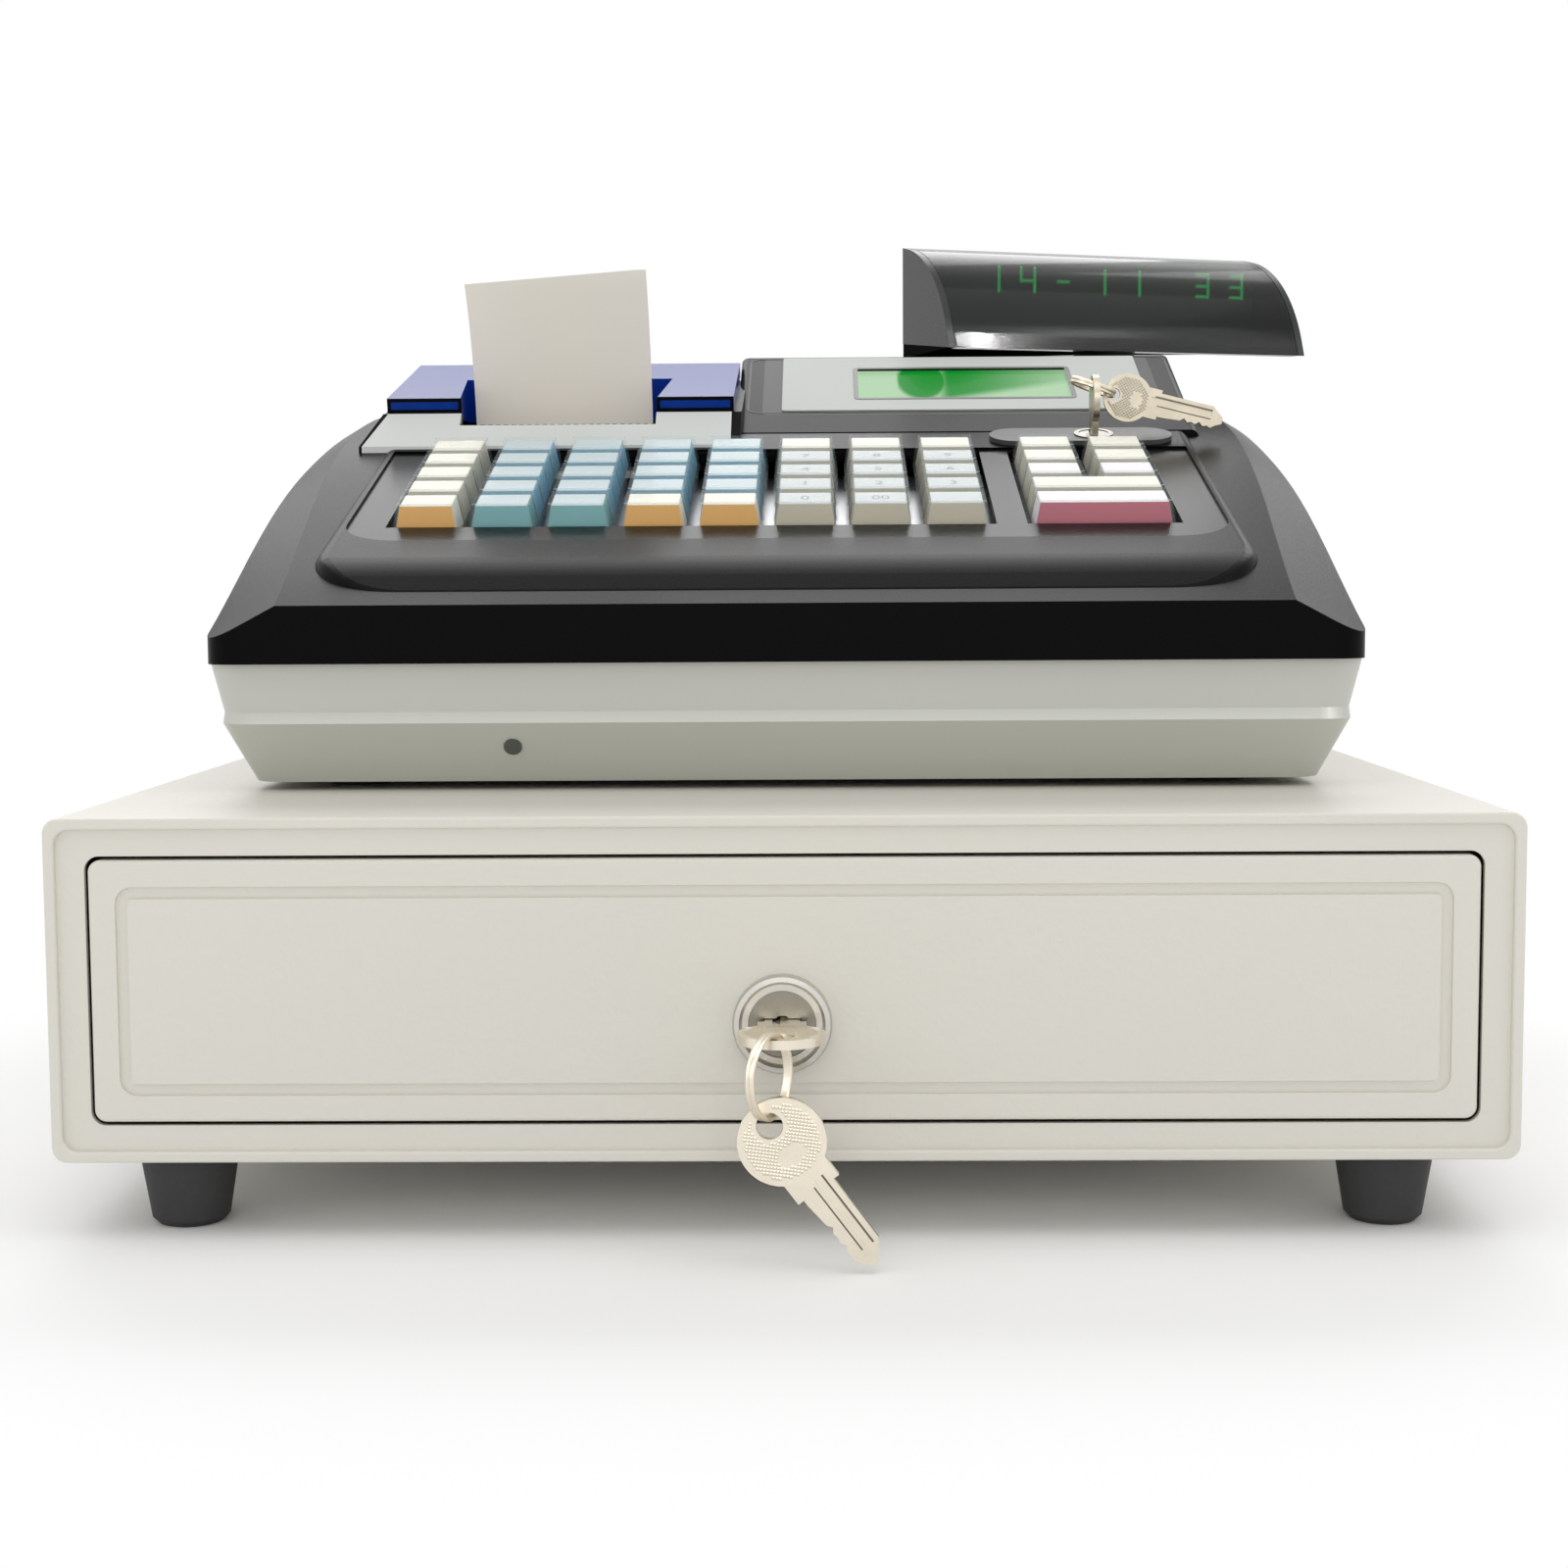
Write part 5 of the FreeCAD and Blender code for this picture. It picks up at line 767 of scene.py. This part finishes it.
# in radii of the bow: the knurl's reach, the eye's rim, and the bare oval's place and half sizes
KNURL_REACH = 0.84
EYE_RIM = 0.1
OVAL_UP = 0.36
OVAL_HALF = (0.36, 0.25)
# the blade's two strips, flat and darker, painted shade standing for its grooves: place in half widths of the blade,
# width, and start in radii of the bow
STRIPS = ((-0.62, 0.45 * MM, 1.12), (0.12, 0.35 * MM, 1.25))
# each key's body, metal, middle of its bow, way of its blade and of its first face, half thickness, radius of its
# bow, place and radius of its eye, and the width and length of the blade where it shows
KEY_PLACES = {
    "hanging_key": ("hanging", "knurl_nickel", (-6.1, -198.25, 29.46), (0.602, 0, -0.7985), (0, -1, 0),
                    1.06, 9.9, 4.5, 3.0, (8.2, 34.0)),
    "spare_key": ("spare", "shaded_nickel", (97.86, 33.49, 207.31), (0.9703, 0, -0.2419), (0, -1, 0),
                  0.96, 7.4, 4.4, 2.0, (7.2, 30.0)),
    "drawer_key": ("lock_turn", "knurl_nickel", (-6.3, -188.6, 50.8), (0, 1, 0), (0, 0, 1),
                   1.06, 9.9, 4.5, 3.0, None),
}


class REGISTER_OT_digits(bpy.types.Operator):
    """Models the lit digits behind the customer display's window"""

    bl_idname = "register.digits"
    bl_label = "Digits"

    def execute(self, context):
        given = sizes()
        end, deep = given.digit_width / 2 - BAR_THICK, BAR_THICK / 2
        bar = add_block("bar model", (-end, -deep, -BAR_THICK), (end, deep, BAR_THICK))
        bpy.ops.object.mode_set(mode="EDIT")
        for side in (-1, 1):
            choose(bar, "FACE", lambda face: face.normal.x * side > UP)
            extrude(side * BAR_THICK * BAR_TIP, 0, 0)
            resize(1.0, 1.0, BAR_POINT)
        bpy.ops.object.mode_set(mode="OBJECT")
        for number, sign in enumerate(SHOWN_DIGITS):
            if sign not in DIGIT_BARS:
                continue
            spot = Vector((given.digit_start + given.digit_step * number, given.digit_back, given.digit_middle))
            bars = []
            for letter in DIGIT_BARS[sign]:
                across, up, degrees = BAR_PLACES[letter]
                shift = Vector((across * given.digit_width, 0, up * given.digit_height / 2))
                place = Matrix.Translation(spot + shift) @ Matrix.Rotation(math.radians(degrees), 4, "Y")
                bars.append(lay(copy_of(bar, "digit_bar"), head_place() @ place))
            bpy.ops.object.select_all(action="DESELECT")
            for item in bars:
                item.select_set(True)
            bpy.context.view_layer.objects.active = bars[0]
            if len(bars) > 1:
                bpy.ops.object.join()
            digit = bpy.context.object
            digit.name = "display_digit_%d" % (number + 1)
            dress(digit, "digits")
            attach(digit, "head")
        remove(bar)
        return {"FINISHED"}


class REGISTER_OT_display_floor(bpy.types.Operator):
    """Models the wedge that fills the customer display's underside towards its left end, dark with painted shade"""

    bl_idname = "register.display_floor"
    bl_label = "Display floor"

    def execute(self, context):
        given = sizes()
        wide, deep, high = given.head_width, given.head_depth, given.head_rise
        floor = add_block("display_floor", (FLOOR_PLAY, -deep, 0), (wide - FLOOR_PLAY, -FLOOR_PLAY, high))
        bpy.ops.object.mode_set(mode="EDIT")
        bpy.ops.mesh.select_all(action="SELECT")
        bpy.ops.mesh.subdivide(number_cuts=1)
        shape = bmesh.from_edit_mesh(floor.data)
        for corner in shape.verts:
            under = high * (1 + corner.co.y / deep)
            drop = under * (1 - corner.co.x / wide)
            corner.co.z = under - drop if corner.co.z < high / 4 else under
        bmesh.update_edit_mesh(floor.data)
        bpy.ops.mesh.select_all(action="SELECT")
        bpy.ops.mesh.remove_doubles(threshold=WELD)
        bpy.ops.mesh.dissolve_degenerate(threshold=TINY)
        leave_edit()
        # the wedge's dark, unshining finish is painted shade
        dress(floor, "under_grey")
        lay(floor, head_place())
        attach(floor, "head")
        return {"FINISHED"}


class REGISTER_OT_paper(bpy.types.Operator):
    """Models the receipt with its upper edge torn aslant"""

    bl_idname = "register.paper"
    bl_label = "Receipt"

    def execute(self, context):
        slant = sizes().paper_slant
        paper = copy_of(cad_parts["receipt_paper"], "receipt_sheet")
        right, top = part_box("receipt_paper")[1][0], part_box("receipt_paper")[1][2]
        bpy.ops.object.mode_set(mode="EDIT")
        bpy.ops.mesh.select_all(action="SELECT")
        bpy.ops.mesh.bisect(plane_co=(right, 0, top + PAPER_SPARE), plane_no=(-math.sin(slant), 0, math.cos(slant)),
                            use_fill=True, clear_outer=True)
        bpy.ops.object.mode_set(mode="OBJECT")
        dress(paper, "paper_white")
        soften(paper)
        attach(paper, "frame")
        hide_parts("receipt_paper")
        return {"FINISHED"}


class REGISTER_OT_lid_faces(bpy.types.Operator):
    """Models the dark framed faces on the front of the lid's two wings"""

    bl_idname = "register.lid_faces"
    bl_label = "Lid faces"

    def execute(self, context):
        given = sizes()
        place = slope_place(given.lid_back, given.lid_high, given.lid_slope)
        for name, left, right in LID_WINGS:
            face = add_block("lid_face_" + name, (left, WING_FRONT, -given.lid_thick), (right, WING_BACK, 0))
            bpy.ops.object.mode_set(mode="EDIT")
            choose(face, "FACE", lambda part: part.normal.y < -UP)
            inset(WING_RIM)
            extrude(0, WING_DENT, 0)
            bpy.ops.object.mode_set(mode="OBJECT")
            dress(face, "lid_edge", "lid_face")
            for part in face.data.polygons:
                inner = part.normal.y < -UP and part.center.y > WING_FRONT + WING_DENT / 2
                part.material_index = 1 if inner else 0
            lay(face, place)
            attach(face, "lid")
        return {"FINISHED"}


class REGISTER_OT_key_bows(bpy.types.Operator):
    """Models the knurled faces of the keys' bows and the grooves of their blades, as flat strips of painted shade"""

    bl_idname = "register.key_bows"
    bl_label = "Key bows"

    def execute(self, context):
        for name, (body, metal, middle, along, facing, thick, bow, eye, hole, blade) in KEY_PLACES.items():
            plate = self.knurled_plate(name + "_knurl", bow * MM, eye * MM, hole * MM, blade)
            along = Vector(along)
            for side, normal in enumerate((Vector(facing), -Vector(facing))):
                turn = Matrix((along.cross(normal), along, normal)).transposed().to_4x4()
                item = copy_of(plate, "%s_knurl_%d" % (name, side + 1))
                lay(item, Matrix.Translation(Vector(middle) * MM + normal * thick * MM) @ turn)
                dress(item, metal, "groove_dark")
                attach(item, body)
            remove(plate)
        return {"FINISHED"}

    def knurled_plate(self, name, bow, eye, hole, blade):
        """A thin round plate of small pyramids with room for the eye and a bare oval, and two strips on the blade."""
        bpy.ops.object.select_all(action="DESELECT")
        count = math.ceil(bow * 2 / KNURL_STEP)
        bpy.ops.mesh.primitive_grid_add(x_subdivisions=count, y_subdivisions=count, size=count * KNURL_STEP,
                                        rotation=(0, 0, KNURL_TURN))
        bpy.ops.object.transform_apply(location=True, rotation=True, scale=True)
        plate = bpy.context.object
        plate.name = name

        def outside(face):
            spot = face.calc_center_median().xy
            oval = Vector((spot.x / OVAL_HALF[0], (spot.y - bow * OVAL_UP) / OVAL_HALF[1])).length
            from_eye = (spot - Vector((0, -eye))).length
            return spot.length > bow * KNURL_REACH or from_eye < hole + bow * EYE_RIM or oval < bow

        bpy.ops.object.mode_set(mode="EDIT")
        choose(plate, "FACE", outside)
        bpy.ops.mesh.delete(type="FACE")
        bpy.ops.mesh.select_all(action="SELECT")
        extrude(0, 0, -KNURL_HIGH)
        bpy.ops.mesh.select_all(action="SELECT")
        bpy.ops.mesh.normals_make_consistent(inside=False)
        choose(plate, "FACE", facing_up)
        bpy.ops.mesh.poke(offset=KNURL_HIGH)
        if blade:
            half = blade[0] * MM / 2
            stop = blade[1] * MM - half
            for right, wide, start in STRIPS:
                bpy.ops.mesh.primitive_cube_add(size=1.0, location=(half * right, (bow * start + stop) / 2, 0),
                                                scale=(wide, stop - bow * start, KNURL_HIGH))
        bpy.ops.object.mode_set(mode="OBJECT")
        # the strips on the blade take the grooves' painted shade
        for face in plate.data.polygons:
            face.material_index = 1 if face.center.y > bow else 0
        return plate


class REGISTER_OT_window(bpy.types.Operator):
    """Models the dark frame round the lit window and the seam round its plate"""

    bl_idname = "register.window"
    bl_label = "Window frame and seam"

    def execute(self, context):
        given = sizes()
        place = slope_place(given.screen_back, given.screen_high, given.screen_slope)
        for name, low, high, width, corner, colour in WINDOW_FRAMES:
            item = self.flat_frame(name, low, high, width * MM, corner * MM)
            dress(item, colour)
            lay(item, place)
            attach(item, "frame")
        return {"FINISHED"}

    def flat_frame(self, name, low, high, width, corner):
        """A flat ring with rounded corners, from a block with its middle taken out."""
        item = add_block(name, Vector(low) * MM, Vector(high) * MM)
        bpy.ops.object.mode_set(mode="EDIT")
        choose(item, "EDGE", lambda edge: abs(edge.verts[0].co.z - edge.verts[1].co.z) > TINY)
        bpy.ops.mesh.bevel(offset=corner, segments=4, profile=0.5, affect="EDGES")
        for test in (facing_up, facing_down):
            choose(item, "FACE", test)
            inset(width)
        middle = (Vector(low) + Vector(high)) / 2 * MM
        choose(item, "FACE", lambda face: (face.calc_center_median() - middle).xy.length < width
               and abs(face.normal.z) > UP)
        bpy.ops.mesh.bridge_edge_loops()
        leave_edit()
        return item


# ---- studio ----

CAMERA_PLACE = (0.00281, -0.72397, 0.15392)
CAMERA_YAW = -0.0152
CAMERA_PITCH = 0.0864
CAMERA_ROLL = 0.0061
CAMERA_LENS = 55.754
SENSOR = 36.0
FLOOR_SIZE = 14.0
WORLD_LEVEL = 0.5
# where the floor starts to fade, and where it's white
FLOOR_NEAR = 0.22
FLOOR_FAR = 0.38
FLOOR_LOW = -0.0002
NEAREST_SHOWN = 0.01
# name, place, target, size, watts and kind: a matt lamp doesn't show in gloss, and a glint shows only there
LAMPS = (
    ("lamp_over", (0.1, -0.5, 1.7), (0, 0, 0.1), (2.2, 1.4), 9.0, "soft"),
    ("lamp_back", (-0.59, 2.2, 2.1), (-0.59, 0, 0.15), (2.42, 1.8), 30.9, "soft"),
    ("lamp_back_middle", (0.77, 2.2, 2.1), (0.77, 0, 0.15), (0.3, 1.8), 3.8, "matt"),
    ("lamp_back_right", (1.36, 2.2, 2.1), (1.36, 0, 0.15), (0.88, 1.8), 11.3, "soft"),
    ("lamp_left", (-1.7, -0.9, 0.9), (0, 0, 0.15), (1.2, 1.2), 4.0, "soft"),
    ("lamp_right", (1.8, -0.7, 1.0), (0, 0, 0.15), (1.2, 1.2), 4.0, "soft"),
    ("lamp_front", (0.0, -2.6, 0.9), (0, 0, 0.1), (1.6, 1.0), 9.0, "soft"),
    ("lamp_glint", (0.749, -0.48, 1.01), (0.058, 0.118, 0.232), (0.024, 0.03), 0.8, "glint"),
    ("lamp_glow", (0.86, -0.5, 0.93), (0.058, 0.118, 0.232), (0.45, 0.5), 1.5, "glint"),
)


def camera_turn():
    """The camera's axes from how far it looks aside and down and leans."""
    ahead = Vector((math.sin(CAMERA_YAW) * math.cos(CAMERA_PITCH), math.cos(CAMERA_YAW) * math.cos(CAMERA_PITCH),
                    -math.sin(CAMERA_PITCH)))
    right = Vector((math.cos(CAMERA_YAW), -math.sin(CAMERA_YAW), 0))
    down = ahead.cross(right)
    lean_right = right * math.cos(CAMERA_ROLL) + down * math.sin(CAMERA_ROLL)
    lean_down = down * math.cos(CAMERA_ROLL) - right * math.sin(CAMERA_ROLL)
    return Matrix((lean_right, -lean_down, -ahead)).transposed()


def add_lamp(name, place, target, size, watts, kind):
    bpy.ops.object.select_all(action="DESELECT")
    aim = (Vector(place) - Vector(target)).to_track_quat("Z", "Y")
    bpy.ops.object.light_add(type="AREA", location=place, rotation=aim.to_euler())
    lamp = bpy.context.object
    lamp.name = name
    lamp.data.shape = "RECTANGLE"
    lamp.data.size, lamp.data.size_y = size
    lamp.data.energy = watts
    lamp.visible_glossy = kind != "matt"
    lamp.visible_diffuse = kind != "glint"
    return lamp


def whiten_far_floor(material):
    """Fades the floor to plain white away from the object, so that no horizon shows."""
    tree = material.node_tree
    nodes = Nodes(tree)
    shader = tree.nodes["Principled BSDF"]
    place = nodes.add("TexCoord").outputs["Object"]
    fade = smooth_step(nodes, reach_of(nodes, place), FLOOR_NEAR, FLOOR_FAR)
    white = nodes.add("Emission", Color=WHITE, Strength=1.0)
    mixed = mix_shaders(nodes, fade, shader.outputs["BSDF"], white.outputs["Emission"])
    tree.links.new(mixed, tree.nodes["Material Output"].inputs["Surface"])


def pale_to_camera(nodes, lit, shown):
    """Shows one shader to the camera, mirrors and glass, and the other to all the rest."""
    path = nodes.add("LightPath").outputs
    seen = join_values(nodes, "MAXIMUM", path["Is Camera Ray"], path["Is Glossy Ray"])
    seen = join_values(nodes, "MAXIMUM", seen, path["Is Transmission Ray"])
    return mix_shaders(nodes, seen, lit, shown)


class REGISTER_OT_studio(bpy.types.Operator):
    """Sets the pale floor, the soft lamps, the white surroundings and the camera"""

    bl_idname = "register.studio"
    bl_label = "Studio"

    def execute(self, context):
        scene = context.scene
        bpy.ops.object.select_all(action="DESELECT")
        bpy.ops.mesh.primitive_plane_add(size=FLOOR_SIZE, location=(0, 0, FLOOR_LOW))
        floor = bpy.context.object
        floor.name = "studio_floor"
        dress(floor, "floor")
        whiten_far_floor(FINISHES["floor"])
        lamps = [add_lamp(*lamp) for lamp in LAMPS]
        self.make_world(scene)
        self.make_camera(scene)
        scene.view_settings.view_transform = "Standard"
        return {"FINISHED"}

    def make_world(self, scene):
        world = bpy.data.worlds.new("studio surroundings")
        world.use_nodes = True
        scene.world = world
        tree = world.node_tree
        tree.nodes.clear()
        nodes = Nodes(tree)
        lit = nodes.add("Background", Color=WHITE, Strength=WORLD_LEVEL)
        shown = nodes.add("Background", Color=WHITE, Strength=1.0)
        out = nodes.add("OutputWorld")
        tree.links.new(pale_to_camera(nodes, lit.outputs[0], shown.outputs[0]), out.inputs["Surface"])

    def make_camera(self, scene):
        bpy.ops.object.select_all(action="DESELECT")
        bpy.ops.object.camera_add(location=CAMERA_PLACE, rotation=camera_turn().to_euler())
        camera = bpy.context.object
        camera.name = "photo_camera"
        camera.data.lens = CAMERA_LENS
        camera.data.sensor_width = SENSOR
        camera.data.clip_start = NEAREST_SHOWN
        scene.camera = camera


class REGISTER_PT_panel(bpy.types.Panel):
    """The register's tools"""

    bl_idname = "REGISTER_PT_panel"
    bl_label = "Ticket register"
    bl_space_type = "VIEW_3D"
    bl_region_type = "UI"
    bl_category = "Register"

    def draw(self, context):
        for operator in OPERATORS:
            self.layout.operator(operator.bl_idname)
        for group in (context.scene.register_sizes, context.scene.register_colours):
            box = self.layout.box()
            for field in group.__annotations__:
                box.prop(group, field)


OPERATORS = (REGISTER_OT_finishes, REGISTER_OT_keys, REGISTER_OT_digits, REGISTER_OT_display_floor,
             REGISTER_OT_paper, REGISTER_OT_lid_faces, REGISTER_OT_key_bows, REGISTER_OT_window, REGISTER_OT_studio)
CLASSES = (RegisterSizes, RegisterColours) + OPERATORS + (REGISTER_PT_panel,)


def register():
    for item in CLASSES:
        bpy.utils.register_class(item)
    bpy.types.Scene.register_sizes = bpy.props.PointerProperty(type=RegisterSizes)
    bpy.types.Scene.register_colours = bpy.props.PointerProperty(type=RegisterColours)


def unregister():
    del bpy.types.Scene.register_colours
    del bpy.types.Scene.register_sizes
    for item in reversed(CLASSES):
        bpy.utils.unregister_class(item)


def plain(bounds):
    return [[float(value) for value in corner] for corner in bounds]


def main():
    register()
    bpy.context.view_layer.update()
    bpy.ops.register.finishes()
    bpy.ops.register.keys()
    bpy.ops.register.digits()
    bpy.ops.register.display_floor()
    bpy.ops.register.paper()
    bpy.ops.register.lid_faces()
    bpy.ops.register.key_bows()
    bpy.ops.register.window()
    bpy.ops.register.studio()


if __name__ == "__main__":
    main()
